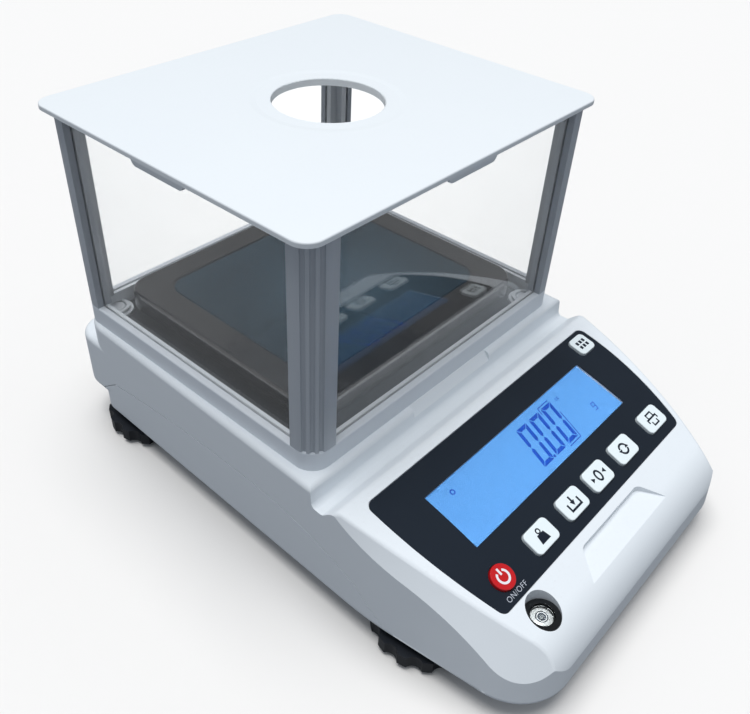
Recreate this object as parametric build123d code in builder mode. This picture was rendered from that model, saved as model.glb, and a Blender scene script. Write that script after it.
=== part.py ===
from build123d import *
from math import asin, atan2, cos, hypot, pi, radians, sin, sqrt, tan
import os

os.makedirs("parts", exist_ok=True)

# Precision laboratory balance with a glass draft shield, in millimetres.
# X to the right of the user, Y away from the user, Z up.
# The origin lies on the bench, under the middle of the housing's length.

# How far a cutter reaches past the face it opens, and how near a picked edge lies to its place
cut_past = 1.0
pick_reach = 1.0
level_tolerance = 0.01

# Draft shield frame, which sets the size of the weighing end
shield_width = 180.0
shield_depth = 160.0
shield_corner_radius = 10.0
frame_height = 9.9
frame_wall = 7.4
frame_inner_radius = 3.0
frame_edge_radius = 0.8
gusset_side_inset = 13.0
gusset_end_inset = 10.0
gusset_radius = 8.0
gusset_height = 3.0
gusset_ring_radius = 6.4
gusset_ring_height = 1.6
stud_radius = 4.4
stud_clearance = 0.3
stud_height = 4.4
stud_pin_radius = 2.0

# Housing outline, seen from above
shield_side_margin = 2.0
side_swell = 3.6
swell_lead = 15.3
nose_taper = 9.1
crown_taper = 6.5
crown_setback = 4.0
nose_corner_radius = 26.5
side_blend_radius = 180.0
rear_corner_radius = 14.0
wall = 2.5
bottom_height = 11.0
plateau_rise = 56.0
bottom_edge_radius = 3.0
seam_gap = 0.5

# Weighing end of the housing, around the draft shield
shelf_behind = 3.0
shelf_in_front = 3.5
rear_bulge = 9.5
lower_rear_setback = 7.0
plateau_rear_radius = 18.0
plateau_edge_radius = 2.5
shoulder_drop = 12.5
shoulder_edge_radius = 3.0
overhang_rise = 11.0
lower_rear_radius = 9.0
rear_block_margin = 2.0

# Console with the display and the keys
groove_drop = 10.0
groove_floor = 6.0
groove_lean = 1.0
groove_radius = 2.5
crest_lead = 5.0
crest_radius = 4.0
console_setback = 19.2
console_start_drop = 3.5
console_run = 92.8
console_radius = 400.0
nose_radius = 24.0
nose_rise = 6.87
flank_edge_radius = 2.0

# Flanks of the console: arcs through three places, at the plateau's height and near the bottom.
# Each place is a distance outside the widest part and a share of the console's run.
flank_low_height = 20.0
flank_crown = [(-6.7, 0.1142), (-19.2, 0.4343), (-46.3, 0.861)]
flank_skirt = [(16.8, 0.1142), (10.9, 0.4881), (-6.8, 0.861)]
flank_lead = 22.7
flank_overrun = 10.5
flank_edge_fall = 12.0
rim_setback = 4.0

# Finger notch in front of the draft shield, and thumb recess on the nose
notch_half_width = 29.0
notch_drop = 5.6
notch_run = 4.6
notch_setback = 3.2
notch_overrun = 1.15
thumb_rear_setback = 23.1
thumb_front_setback = 11.2
thumb_rear_half_width = 24.0
thumb_front_half_width = 32.5
thumb_depth = 3.0
thumb_overrun = 5.0
thumb_corner_radius = 5.0
thumb_floor_overrun = 10.0

# Parting line between the shells
parting_peak_reach = 48.6
parting_peak_height = 42.4
parting_rear_lead = 15.7
parting_rear_height = 33.3
parting_front_lead = 6.7
parting_front_height = 28.8
parting_front_slope = 43.1
tongue_side_inset = 0.5
tongue_lead = 13.5
tongue_corner_radius = 12.0

# Front panel
panel_front_setback = 24.4
panel_side_inset = 12.2
panel_mid_taper = 1.4
panel_front_taper = 8.7
panel_corner_radius = 4.0
panel_recess = 0.6
overlay_thickness = 0.5
overlay_clearance = 0.25
window_left_inset = 13.2
window_right_inset = 15.1
window_start = 13.9
window_key_gap = 9.4
window_clearance = 0.15

# Keys
key_width = 16.0
key_length = 11.0
key_corner_radius = 2.5
count_key_width = 12.0
count_key_length = 10.5
power_key_radius = 5.6
key_stand = 1.3
key_edge_radius = 0.5
key_clearance = 0.3
key_flange = 1.0
key_flange_gap = 0.15
key_stem_gap = 0.2
key_flange_thickness = 0.9
key_travel = 0.8
key_stem_radius = 1.7
key_row_setback = 10.7
count_key_place = 7.9
cal_key_share = -0.475
tare_key_share = -0.145
zero_key_share = 0.149
unit_key_share = 0.46
print_key_inset = 11.8
count_key_inset = 9.9
power_key_inset = 11.3

# Display and board under the front panel
board_thickness = 1.6
board_drop = 11.0
board_side_inset = 5.0
board_start = 1.5
board_front_inset = 1.9
display_margin = 3.2
display_drop = 3.0
display_gap = 0.15
window_thickness = 0.8
switch_size = 6.0
switch_height = 2.5
switch_button_radius = 1.6
switch_button_height = 0.8
board_post_radius = 2.8
board_post_start = 5.5
board_post_inset = 9.5
board_post_front_inset = 5.0
pilot_radius = 1.2

# Spirit level in the nose
level_inset = 26.7
level_setback = 18.7
level_bore_radius = 7.75
level_tube_wall = 1.6
level_tube_depth = 13.5
level_lip = 1.4
level_clearance = 0.15
level_case_wall = 2.4
level_case_floor = 1.5
level_case_drop = 2.9
level_vial_height = 6.7
level_case_edge_radius = 0.5

# Corner posts and glass panes
post_width = 13.5
post_depth = 13.0
post_notch = 4.5
post_height = 99.3
flute_radius = 1.1
flute_angle = 21.0
flute_count = 3
glass_thickness = 2.0
glass_slot = 2.4
glass_slot_inset = 3.2
glass_slot_depth = 4.5
glass_slot_clearance = 0.2
glass_grip = 4.0
glass_top_gap = 0.3
post_screw_inset = 6.0
post_screw_recess = 3.5
post_screw_radius = 1.5
post_screw_length = 14.0
post_screw_head_radius = 2.6
post_screw_head = 2.0
screw_clearance = 0.15

# Lid
lid_side_overhang = 4.2
lid_end_overhang = 1.6
lid_thickness = 2.2
lid_corner_radius = 8.0
lid_edge_radius = 0.7
lid_hole_radius = 25.0
lid_collar_wall = 2.2
lid_collar_drop = 1.6
lid_hole_edge_radius = 0.6
lid_dish_radius = 34.5
lid_dish_slope = 3.0
lid_dish_depth = 0.3
lid_tab_length = 32.0
lid_tab_drop = 4.2
lid_tab_thickness = 1.5
lid_tab_setback = 2.2
lid_tab_radius = 3.0

# Chamber floor
floor_thickness = 2.0
floor_clearance = 0.4
floor_corner_radius = 3.0
draft_ring_wall = 2.5
draft_ring_height = 4.5
column_hole_radius = 14.0

# Weighing pan and its support
pan_side_gap = 8.35
pan_end_gap = 7.1
pan_corner_radius = 12.0
pan_top_rise = 18.0
pan_skirt = 9.5
pan_sheet = 1.2
pan_edge_radius = 2.2
pan_side_rim = 14.25
pan_end_rim = 14.0
pan_well_radius = 10.0
pan_well_drop = 0.5
pan_socket_radius = 7.0
pan_socket_wall = 2.0
pan_socket_depth = 2.8
support_side_inset = 16.25
support_end_inset = 17.5
support_thickness = 3.0
support_rim = 8.0
support_windows = 3
support_corner_radius = 12.0
support_window_radius = 5.0
support_gap = 1.2
support_pin_clearance = 0.35
column_radius = 10.0
column_head_radius = 17.0
button_radius = 5.0
button_rim = 1.0
button_inset = 8.0
button_height = 3.2
platform_travel = 0.3
platform_clearance = 0.05

# Load cell
cell_length = 110.0
cell_width = 30.0
cell_height = 22.0
cell_top_height = 50.0
cell_free_end = 20.0
cell_hole_radius = 7.5
cell_hole_spacing = 34.0
cell_slot = 4.0
cell_base_length = 34.0
cell_foot_length = 60.0
cell_foot_width = 56.0
cell_foot_thickness = 5.0
cell_screw_radius = 2.5
cell_screw_head_radius = 4.4
cell_screw_head = 4.0
cell_screw_spacing = 18.0
cell_screw_recess = 5.0
cell_thread_depth = 8.0
cell_screw_gap = 1.0
base_overhang = 10.0
base_corner_radius = 6.0
base_screw_inset = 6.0
base_screw_length = 6.2
stop_radius = 4.0
stop_gap = 0.4
stop_spacing = 24.0
stop_inset = 6.0
stop_height = 9.0
stop_shank_radius = 2.0
stop_shank_length = 8.0

# Levelling feet
foot_side_inset = 20.0
foot_front_setback = 63.0
foot_rear_setback = 34.5
pad_radius = 14.0
pad_height = 2.4
pad_pin_radius = 4.0
pad_pin_height = 3.0
pad_edge_radius = 0.5
wheel_radius = 25.0
wheel_top_height = 9.0
wheel_lobes = 14
wheel_scallop_radius = 4.2
wheel_scallop_reach = 2.2
stud_thread_radius = 4.0
stud_reach = 15.0
insert_radius = 6.0
insert_length = 13.0
insert_clearance = 0.1
foot_boss_radius = 9.0
running_clearance = 0.08

# Screws that hold the shells together
shell_screw_inset = 8.5
shell_screw_front_inset = 11.0
shell_screw_front_gap = 7.5
shell_screw_middle_reach = 32.0
shell_screw_rear_reach = 38.0
shell_post_radius = 4.5
shell_post_height = 24.0
shell_screw_radius = 1.7
shell_screw_head_radius = 3.2
shell_screw_head = 2.4
shell_screw_recess = 8.0
shell_screw_length = 20.0

# Main board and sockets in the rear bulge
main_board_height = 34.0
main_board_side_inset = 28.0
main_board_gap = 2.0
main_board_length = 42.0
main_post_inset = 6.0
main_screw_length = 6.0
board_screw_head_radius = 2.4
board_screw_head = 1.6
main_post_rear_inset = 14.0
jack_x = -40.0
jack_radius = 5.5
jack_bore_radius = 3.2
jack_pin_radius = 1.0
jack_pin_setback = 1.0
jack_width = 14.0
jack_body_length = 13.0
jack_height = 12.0
jack_bore_depth = 9.0
port_x = 20.0
port_width = 31.0
port_height = 12.6
port_depth = 10.0
port_shell_width = 18.0
port_shell_height = 9.0
port_shell_radius = 2.6
port_wall = 0.8
port_bore_depth = 5.5
socket_clearance = 0.3
socket_inset = 0.4

# Places worked out from the sizes above
bottom_z = bottom_height
plateau_z = bottom_z + plateau_rise
rear_half_width = shield_width / 2 + shield_side_margin
wide_half_width = rear_half_width + side_swell
nose_half_width = wide_half_width - nose_taper
crown_half_width = nose_half_width - crown_taper
across = 2 * wide_half_width
plateau_rear_reach = shield_depth / 2 + shelf_behind
plateau_front_reach = shield_depth / 2 + shelf_in_front
lower_rear_reach = plateau_rear_reach - lower_rear_setback
console_reach = plateau_front_reach + console_setback
rear_reach = plateau_rear_reach + rear_bulge
front_reach = console_reach + console_run
housing_length = rear_reach + front_reach
rear_y = housing_length / 2
front_y = -housing_length / 2
shield_y = rear_y - rear_reach
shoulder_z = plateau_z - shoulder_drop
overhang_z = bottom_z + overhang_rise
groove_z = plateau_z - groove_drop
plateau_rear_y = shield_y + plateau_rear_reach
plateau_front_y = shield_y - plateau_front_reach
lower_rear_y = shield_y + lower_rear_reach
console_y = shield_y - console_reach
wide_y = console_y - swell_lead
frame_top_z = plateau_z + frame_height
post_top_z = frame_top_z + post_height
pan_top_z = plateau_z + pan_top_rise
foot_front_reach = front_reach - foot_front_setback
foot_rear_reach = rear_reach - foot_rear_setback
parting_rear_reach = lower_rear_reach - parting_rear_lead
parting_front_reach = console_reach + parting_front_lead
tongue_half_width = nose_half_width - tongue_side_inset
tongue_reach = foot_front_reach + tongue_lead

# Console top line: the nose arc at the front, and a large arc that touches it and meets the groove's crest
console_z = plateau_z - console_start_drop
nose_centre_y = front_y + nose_radius
nose_centre_z = bottom_z + nose_rise
nose_gap = console_radius - nose_radius
console_chord = hypot(console_y - nose_centre_y, console_z - nose_centre_z)
chord_slope = atan2(console_z - nose_centre_z, console_y - nose_centre_y)
chord_share = (console_radius**2 + console_chord**2 - nose_gap**2) / (2 * console_radius * console_chord)
start_slope = chord_slope - asin(chord_share)
arc_centre_y = console_y + console_radius * sin(start_slope)
arc_centre_z = console_z - console_radius * cos(start_slope)
nose_slope = asin((arc_centre_y - nose_centre_y) / nose_gap)

# Front panel, its window and its keys
panel_length = console_run - panel_front_setback
panel_rear_half_width = wide_half_width - panel_side_inset
panel_mid_half_width = panel_rear_half_width - panel_mid_taper
panel_front_half_width = panel_rear_half_width - panel_front_taper
key_row_place = panel_length - key_row_setback
cal_key_x = cal_key_share * panel_front_half_width
tare_key_x = tare_key_share * panel_front_half_width
zero_key_x = zero_key_share * panel_front_half_width
unit_key_x = unit_key_share * panel_front_half_width
print_key_x = panel_front_half_width - print_key_inset
count_key_x = panel_rear_half_width - count_key_inset
power_key_x = power_key_inset - panel_front_half_width
window_left = window_left_inset - panel_front_half_width
window_right = panel_front_half_width - window_right_inset
window_end = key_row_place - key_length / 2 - window_key_gap


def console_slope(distance):
    """Slope of the console's top, in radians, at a distance along it from the panel's rear edge."""
    return start_slope + distance / console_radius


def console_point(distance, lift=0.0):
    """Y and Z above the console's top, at a distance along it from the panel's rear edge."""
    slope = console_slope(distance)
    radius = console_radius + lift
    return (arc_centre_y - radius * sin(slope), arc_centre_z + radius * cos(slope))


def console_plane(x, distance, lift=0.0):
    """A plane that touches the console's top, with its own Y up the slope."""
    slope = console_slope(distance)
    y, z = console_point(distance, lift)
    return Plane(origin=(x, y, z), x_dir=(1, 0, 0), z_dir=(0, -sin(slope), cos(slope)))


def nose_point(turn, inset=0.0):
    """Y and Z on the nose arc, by its slope in radians."""
    radius = nose_radius - inset
    return (nose_centre_y - radius * sin(turn), nose_centre_z + radius * cos(turn))


def console_height(y):
    """Height of the console's top at a given Y."""
    if y < nose_centre_y - nose_radius * sin(nose_slope):
        return nose_centre_z + sqrt(nose_radius**2 - (y - nose_centre_y) ** 2)
    return arc_centre_z + sqrt(console_radius**2 - (y - arc_centre_y) ** 2)


def shield_plane(z):
    """A level plane centred on the draft shield."""
    return Plane(origin=(0, shield_y, z), z_dir=(0, 0, 1))


def side_x(y, inset=0.0):
    """Half width of the housing's straight side at a given Y."""
    lean = (wide_half_width - rear_half_width) / (rear_y - wide_y)
    return rear_half_width + (rear_y - y) * lean - inset


# Housing form


def plan_sketch(level, nose_half, nose_y, inset):
    """Outline of the housing seen from above, at one level."""
    half = [(rear_half_width, rear_y), (wide_half_width, wide_y), (nose_half, nose_y)]
    with BuildSketch(Plane.XY.offset(level)) as outline:
        with BuildLine():
            Polyline(*half, *[(-x, y) for x, y in reversed(half)], close=True)
        make_face()
        fillet(outline.vertices().group_by(Axis.Y)[0], nose_corner_radius)
        fillet(
            outline.vertices().filter_by_position(Axis.Y, wide_y - pick_reach, wide_y + pick_reach),
            side_blend_radius,
        )
        fillet(outline.vertices().group_by(Axis.Y)[-1], rear_corner_radius)
        if inset > 0:
            offset(amount=-inset, mode=Mode.REPLACE)
    return outline.sketch


def side_sketch(inset):
    """Side view of the housing between its rear steps and its nose."""
    lower_step = lower_rear_y - lower_rear_radius - rear_block_margin - inset
    upper_step = plateau_rear_y - plateau_rear_radius - rear_block_margin - inset
    crest_y, crest_z = console_point(-crest_lead)
    groove_rear_y = plateau_front_y - groove_lean
    groove_front_y = groove_rear_y - groove_floor
    ramp = atan2(crest_z - groove_z, groove_front_y - crest_y)
    crest = console_point(-crest_lead + inset * tan((ramp + console_slope(0)) / 2), -inset)
    groove_rear = (groove_rear_y + inset, groove_z - inset)
    groove_front = (groove_front_y - inset * tan(ramp / 2), groove_z - inset)
    middle_slope = (console_slope(-crest_lead) + nose_slope) / 2
    middle = console_point((middle_slope - start_slope) * console_radius, -inset)
    nose_start = nose_point(nose_slope, inset)
    nose_middle = nose_point((nose_slope + pi / 2) / 2, inset)
    nose_end = (front_y + inset, nose_centre_z)
    with BuildSketch(Plane.YZ) as profile:
        with BuildLine():
            Polyline(
                nose_end,
                (front_y + inset, bottom_z + inset),
                (lower_step, bottom_z + inset),
                (lower_step, overhang_z + inset),
                (rear_y - inset, overhang_z + inset),
                (rear_y - inset, shoulder_z - inset),
                (upper_step, shoulder_z - inset),
                (upper_step, plateau_z - inset),
                (plateau_front_y + inset, plateau_z - inset),
                groove_rear,
                groove_front,
                crest,
            )
            ThreePointArc(crest, middle, nose_start)
            ThreePointArc(nose_start, nose_middle, nose_end)
        make_face()
        corners = profile.vertices()
        fillet(corners.sort_by_distance((*groove_rear, 0))[0], groove_radius + inset)
        fillet(profile.vertices().sort_by_distance((*groove_front, 0))[0], groove_radius + inset)
        fillet(profile.vertices().sort_by_distance((*crest, 0))[0], crest_radius - inset)
    return profile.sketch


def rear_block(step_y, end_y, corner_radius, low_z, high_z, inset):
    """The stretch of the housing behind a rear step, with its round corners."""
    with BuildPart() as block:
        with BuildSketch(Plane.XY.offset(low_z)) as outline:
            with BuildLine():
                Polyline(
                    (-side_x(step_y, inset), step_y),
                    (side_x(step_y, inset), step_y),
                    (side_x(end_y, inset), end_y),
                    (-side_x(end_y, inset), end_y),
                    close=True,
                )
            make_face()
            fillet(outline.vertices().group_by(Axis.Y)[-1], corner_radius - inset)
        extrude(amount=high_z - low_z)
    return block.part


def arc_through(points, first_y, last_y, inset):
    """An arc through three plan points, run out to two other Y values."""
    (x1, y1), (x2, y2), (x3, y3) = points
    a = x2 - x1
    b = y2 - y1
    c = x3 - x1
    d = y3 - y1
    e = (x2**2 - x1**2 + y2**2 - y1**2) / 2
    f = (x3**2 - x1**2 + y3**2 - y1**2) / 2
    centre_x = (e * d - b * f) / (a * d - b * c)
    centre_y = (a * f - e * c) / (a * d - b * c)
    radius = hypot(x1 - centre_x, y1 - centre_y)
    ends = []
    for y in (first_y, (first_y + last_y) / 2, last_y):
        ends.append((centre_x + sqrt(radius**2 - (y - centre_y) ** 2) - inset, y))
    return ends


def flank_cutter(inset):
    """What the sloping flanks of the console cut from its sides."""
    first_y = console_y + flank_lead
    last_y = front_y - flank_overrun
    sections = []
    for level, places in ((flank_low_height, flank_skirt), (plateau_z, flank_crown)):
        points = [(wide_half_width + outside, console_y - share * console_run) for outside, share in places]
        start, middle, end = arc_through(points, first_y, last_y, inset)
        with BuildSketch(Plane.XY.offset(level)) as section:
            with BuildLine():
                ThreePointArc(start, middle, end)
                Polyline(end, (across, last_y), (across, first_y), start)
            make_face()
        sections.append(section.sketch)
    with BuildPart() as cutter:
        loft(sections, ruled=True)
        mirror(about=Plane.YZ)
    return cutter.part


def notch_cutter(inset):
    """The sloped finger notch in the plateau's front edge."""
    slope_length = hypot(notch_run, notch_drop)
    shift_y = inset * notch_drop / slope_length
    shift_z = inset * notch_run / slope_length
    rear = plateau_front_y + notch_setback
    low = rear - notch_overrun * notch_run
    with BuildPart() as cutter:
        with BuildSketch(Plane.YZ):
            with BuildLine():
                Polyline(
                    (rear + shift_y, plateau_z - shift_z),
                    (low + shift_y, plateau_z - shift_z - notch_overrun * notch_drop),
                    (low, plateau_z + cut_past),
                    (rear + shift_y, plateau_z + cut_past),
                    close=True,
                )
            make_face()
        extrude(amount=notch_half_width + inset, both=True)
    return cutter.part


def thumb_cutter(inset):
    """The thumb recess on the nose: a flat floor that runs out towards the user."""
    rear = front_y + thumb_rear_setback
    front = front_y + thumb_front_setback
    flare = (thumb_front_half_width - thumb_rear_half_width) / (rear - front)
    end = front_y - thumb_overrun
    end_half = thumb_rear_half_width + flare * (rear - end)
    rear_floor = console_height(rear) - thumb_depth
    fall = (rear_floor - console_height(front)) / (rear - front)
    with BuildPart() as cutter:
        with BuildSketch(Plane.XY) as outline:
            with BuildLine():
                Polyline(
                    (-thumb_rear_half_width, rear),
                    (thumb_rear_half_width, rear),
                    (end_half, end),
                    (-end_half, end),
                    close=True,
                )
            make_face()
            fillet(outline.vertices().group_by(Axis.Y)[-1], thumb_corner_radius)
            if inset > 0:
                offset(amount=inset, mode=Mode.REPLACE)
        extrude(amount=plateau_z)
        with BuildSketch(Plane.YZ):
            with BuildLine():
                Polyline(
                    (rear + thumb_floor_overrun, rear_floor + thumb_floor_overrun * fall - inset),
                    (
                        end - thumb_floor_overrun,
                        rear_floor - (rear - end + thumb_floor_overrun) * fall - inset,
                    ),
                    (end - thumb_floor_overrun, plateau_z),
                    (rear + thumb_floor_overrun, plateau_z),
                    close=True,
                )
            make_face()
        extrude(amount=across, both=True, mode=Mode.INTERSECT)
    return cutter.part


def housing_form(inset):
    """The housing's whole form, or the same form drawn in by a wall."""
    upper_step = plateau_rear_y - plateau_rear_radius - rear_block_margin - inset
    lower_step = lower_rear_y - lower_rear_radius - rear_block_margin - inset
    with BuildPart() as form:
        loft(
            [
                plan_sketch(bottom_z, nose_half_width, front_y, inset),
                plan_sketch(plateau_z, crown_half_width, front_y + crown_setback, inset),
            ],
            ruled=True,
        )
        extrude(side_sketch(inset), amount=across, both=True, mode=Mode.INTERSECT)
        add(
            rear_block(
                upper_step,
                plateau_rear_y - inset,
                plateau_rear_radius,
                shoulder_z - inset,
                plateau_z - inset,
                inset,
            )
        )
        add(
            rear_block(
                lower_step,
                lower_rear_y - inset,
                lower_rear_radius,
                bottom_z + inset,
                overhang_z + inset,
                inset,
            )
        )
        add(flank_cutter(inset), mode=Mode.SUBTRACT)
    return form.part


def level_edges(part, z):
    """Edges of a part that lie level at one height."""
    return part.edges().filter_by_position(Axis.Z, z - level_tolerance, z + level_tolerance)


def rear_rim(part, z, wall_y):
    """The outer rim of a step behind a rear wall, without the edge at the wall's foot."""
    rim = level_edges(part, z).filter_by(lambda edge: edge.center().Y > wall_y - rear_corner_radius)
    return rim.filter_by(
        lambda edge: edge.center().Y > wall_y + rim_setback or abs(edge.center().X) > side_x(
            rear_y
        ) - pick_reach
    )


def crest_flank_edges(part):
    """The upper edges of the console's flanks."""
    long_edges = part.edges().filter_by(
        lambda edge: edge.length > console_run / 2 and abs(
            edge.center().X
        ) > crown_half_width - 2 * pick_reach
    )
    return long_edges.filter_by_position(Axis.Y, front_y, plateau_front_y).filter_by(
        lambda edge: edge.bounding_box().max.Z > console_z - pick_reach
        and edge.bounding_box().size.Z > flank_edge_fall
    )


with BuildPart() as outer_form:
    add(housing_form(0))
    fillet(level_edges(outer_form, plateau_z), plateau_edge_radius)
    fillet(rear_rim(outer_form, shoulder_z, plateau_rear_y), shoulder_edge_radius)
    fillet(rear_rim(outer_form, overhang_z, lower_rear_y), shoulder_edge_radius)
    fillet(level_edges(outer_form, bottom_z), bottom_edge_radius)
    flank_edges = crest_flank_edges(outer_form)
    fillet(flank_edges, flank_edge_radius)
    add(notch_cutter(0), mode=Mode.SUBTRACT)
    add(thumb_cutter(0), mode=Mode.SUBTRACT)

with BuildPart() as cavity:
    add(housing_form(wall))
    add(notch_cutter(wall), mode=Mode.SUBTRACT)
    add(thumb_cutter(wall), mode=Mode.SUBTRACT)


def parting_sketch(lift):
    """Side view of everything under the line where the two shells part."""
    peak = (shield_y - parting_peak_reach, parting_peak_height + lift)
    rear = (shield_y + parting_rear_reach, parting_rear_height + lift)
    front = (shield_y - parting_front_reach, parting_front_height + lift)
    front_run = (front[1] + across) / tan(radians(parting_front_slope))
    rear_slope = (parting_rear_height - overhang_z) / (lower_rear_reach - parting_rear_reach)
    rear_run = (rear[1] + across) / rear_slope
    with BuildSketch(Plane.YZ) as region:
        with BuildLine():
            TangentArc(peak, rear, tangent=(1, 0))
            TangentArc(peak, front, tangent=(-1, 0))
            Polyline(front, (front[0] - front_run, -across), (rear[0] + rear_run, -across), rear)
        make_face()
    return region.sketch


def tongue(clearance):
    """The lower shell's bottom plate where it reaches forward to carry the front feet."""
    front = shield_y - tongue_reach
    length = tongue_reach - parting_front_reach
    centre = Plane(origin=(0, front + length / 2, bottom_z - clearance), z_dir=(0, 0, 1))
    with BuildPart() as plate:
        with BuildSketch(centre):
            RectangleRounded(
                2 * (tongue_half_width + clearance),
                length + 2 * clearance,
                tongue_corner_radius + clearance,
            )
        extrude(amount=wall + 2 * clearance)
    return plate.part


def cylinder_between(x, y, low_z, high_z, radius):
    """An upright cylinder between two heights."""
    with BuildPart() as column:
        with BuildSketch(Plane(origin=(x, y, low_z), z_dir=(0, 0, 1))):
            Circle(radius)
        extrude(amount=high_z - low_z)
    return column.part


def panel_sketch(clearance):
    """Outline of the front panel, seen from above."""
    rear = console_y
    front = console_y - panel_run
    middle = (rear + front) / 2
    with BuildSketch(Plane.XY) as outline:
        with BuildLine():
            ThreePointArc(
                (panel_rear_half_width, rear),
                (panel_mid_half_width, middle),
                (panel_front_half_width, front),
            )
            ThreePointArc(
                (-panel_rear_half_width, rear),
                (-panel_mid_half_width, middle),
                (-panel_front_half_width, front),
            )
            Line((panel_rear_half_width, rear), (-panel_rear_half_width, rear))
            Line((panel_front_half_width, front), (-panel_front_half_width, front))
        make_face()
        fillet(outline.vertices(), panel_corner_radius)
        if clearance > 0:
            offset(amount=-clearance, mode=Mode.REPLACE)
    return outline.sketch


def console_band(low_lift, high_lift):
    """The layer between two heights over the console's top, across the whole housing."""
    first = -crest_lead
    last = panel_length + 2 * crest_lead
    middle = (first + last) / 2
    with BuildPart() as band:
        with BuildSketch(Plane.YZ):
            with BuildLine():
                ThreePointArc(
                    console_point(first, high_lift),
                    console_point(middle, high_lift),
                    console_point(last, high_lift),
                )
                ThreePointArc(
                    console_point(first, low_lift),
                    console_point(middle, low_lift),
                    console_point(last, low_lift),
                )
                Line(console_point(first, high_lift), console_point(first, low_lift))
                Line(console_point(last, high_lift), console_point(last, low_lift))
            make_face()
        extrude(amount=across, both=True)
    return band.part


def panel_layer(low_lift, high_lift, clearance):
    """The layer between two heights over the console's top, within the panel's outline."""
    with BuildPart() as layer:
        add(console_band(low_lift, high_lift))
        extrude(panel_sketch(clearance), amount=2 * plateau_z, mode=Mode.INTERSECT)
    return layer.part


def window_sketch(growth):
    """Outline of the display window on its own plane over the console."""
    width = window_right - window_left + 2 * growth
    length = window_end - window_start + 2 * growth
    with BuildSketch(window_plane) as outline:
        Rectangle(width, length)
    return outline.sketch


keys = [
    ("cal_key", cal_key_x, key_row_place, "wide"),
    ("tare_key", tare_key_x, key_row_place, "wide"),
    ("zero_key", zero_key_x, key_row_place, "wide"),
    ("unit_key", unit_key_x, key_row_place, "wide"),
    ("print_key", print_key_x, key_row_place, "wide"),
    ("count_key", count_key_x, count_key_place, "small"),
    ("power_key", power_key_x, key_row_place, "round"),
]


def key_sketch(x, place, shape, lift, growth):
    """Outline of a key at a height over the console's top."""
    with BuildSketch(console_plane(x, place, lift)) as outline:
        if shape == "round":
            Circle(power_key_radius + growth)
        elif shape == "small":
            RectangleRounded(
                count_key_width + 2 * growth, count_key_length + 2 * growth, key_corner_radius + growth
            )
        else:
            RectangleRounded(key_width + 2 * growth, key_length + 2 * growth, key_corner_radius + growth)
    return outline.sketch


# The board lies under the panel, level with the middle of the display
window_x = (window_left + window_right) / 2
window_place = (window_start + window_end) / 2
window_plane = console_plane(window_x, window_place)
board_plane = console_plane(0, window_place, -board_drop)
panel_run = console_y - console_point(panel_length)[0]


def depth_to_board(place, height):
    """How far below the console's top, along its normal, lies a height over the display board."""
    y, z = console_point(place)
    base_y, base_z = console_point(window_place, -board_drop)
    slope = console_slope(place)
    board_slope = console_slope(window_place)
    rise = (base_y - y) * sin(board_slope) + (z - base_z) * cos(board_slope)
    return (rise - height) / cos(slope - board_slope)


shell_screw_spots = [
    (rear_half_width - shell_screw_front_inset, shield_y - foot_front_reach + shell_screw_front_gap),
    (rear_half_width - shell_screw_inset, shield_y - shell_screw_middle_reach),
    (rear_half_width - shell_screw_inset, shield_y + shell_screw_rear_reach),
]
shell_screw_places = [(side * x, y) for side in (-1, 1) for x, y in shell_screw_spots]
board_half_width = panel_rear_half_width - board_side_inset
board_front_half_width = panel_front_half_width - board_side_inset
board_end = panel_length - board_front_inset
board_front_posts = board_end - board_post_front_inset
left_post_x = (power_key_x + power_key_radius + cal_key_x - key_width / 2) / 2
right_post_x = (unit_key_x + print_key_x) / 2
board_post_places = [
    (board_post_inset - board_half_width, board_post_start),
    (count_key_x - count_key_width - board_post_inset, board_post_start),
    (left_post_x, board_front_posts),
    (right_post_x, board_front_posts),
]
main_board_half_width = rear_half_width - main_board_side_inset
main_board_rear_y = rear_y - wall - main_board_gap
main_board_y = main_board_rear_y - main_board_length / 2
main_post_x = main_board_half_width - main_post_inset
main_post_rows = (
    main_board_rear_y - main_board_length + main_post_inset, main_board_rear_y - main_post_rear_inset
)
main_post_places = [(side * main_post_x, y) for side in (-1, 1) for y in main_post_rows]
foot_x = rear_half_width - foot_side_inset
gusset_x = shield_width / 2 - gusset_side_inset
gusset_y = shield_depth / 2 - gusset_end_inset
pan_width = shield_width - 2 * (frame_wall + pan_side_gap)
pan_depth = shield_depth - 2 * (frame_wall + pan_end_gap)
pan_well_width = pan_width - 2 * pan_side_rim
pan_well_depth = pan_depth - 2 * pan_end_rim
support_width = pan_width - 2 * support_side_inset
support_depth = pan_depth - 2 * support_end_inset
button_x = support_width / 2 - button_inset
button_y = support_depth / 2 - button_inset
lid_width = shield_width + 2 * lid_side_overhang
lid_depth = shield_depth + 2 * lid_end_overhang
level_x = level_inset - nose_half_width
foot_places = [
    ("front_left", -foot_x, shield_y - foot_front_reach),
    ("front_right", foot_x, shield_y - foot_front_reach),
    ("rear_left", -foot_x, shield_y + foot_rear_reach),
    ("rear_right", foot_x, shield_y + foot_rear_reach),
]
stud_places = [(side * gusset_x, shield_y + end * gusset_y) for side in (-1, 1) for end in (-1, 1)]
stop_places = [(side * stop_spacing / 2, shield_y + cell_free_end - stop_inset) for side in (-1, 1)]
level_y = front_y + level_setback
level_top_z = console_height(level_y)
level_floor_z = level_top_z - level_tube_depth
shell_post_z = bottom_z + shell_post_height
shell_screw_seat_z = bottom_z + shell_screw_recess
shell_screw_top_z = shell_screw_seat_z + shell_screw_length
foot_boss_top_z = bottom_z + wall + insert_length
insert_bottom_z = bottom_z + wall
cell_top_z = cell_top_height
cell_bottom_z = cell_top_z - cell_height
stop_seat_z = cell_bottom_z - stop_height
switch_top = switch_height + switch_button_height
window_bow = ((window_end - window_start) / 2) ** 2 / (2 * console_radius)
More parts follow.
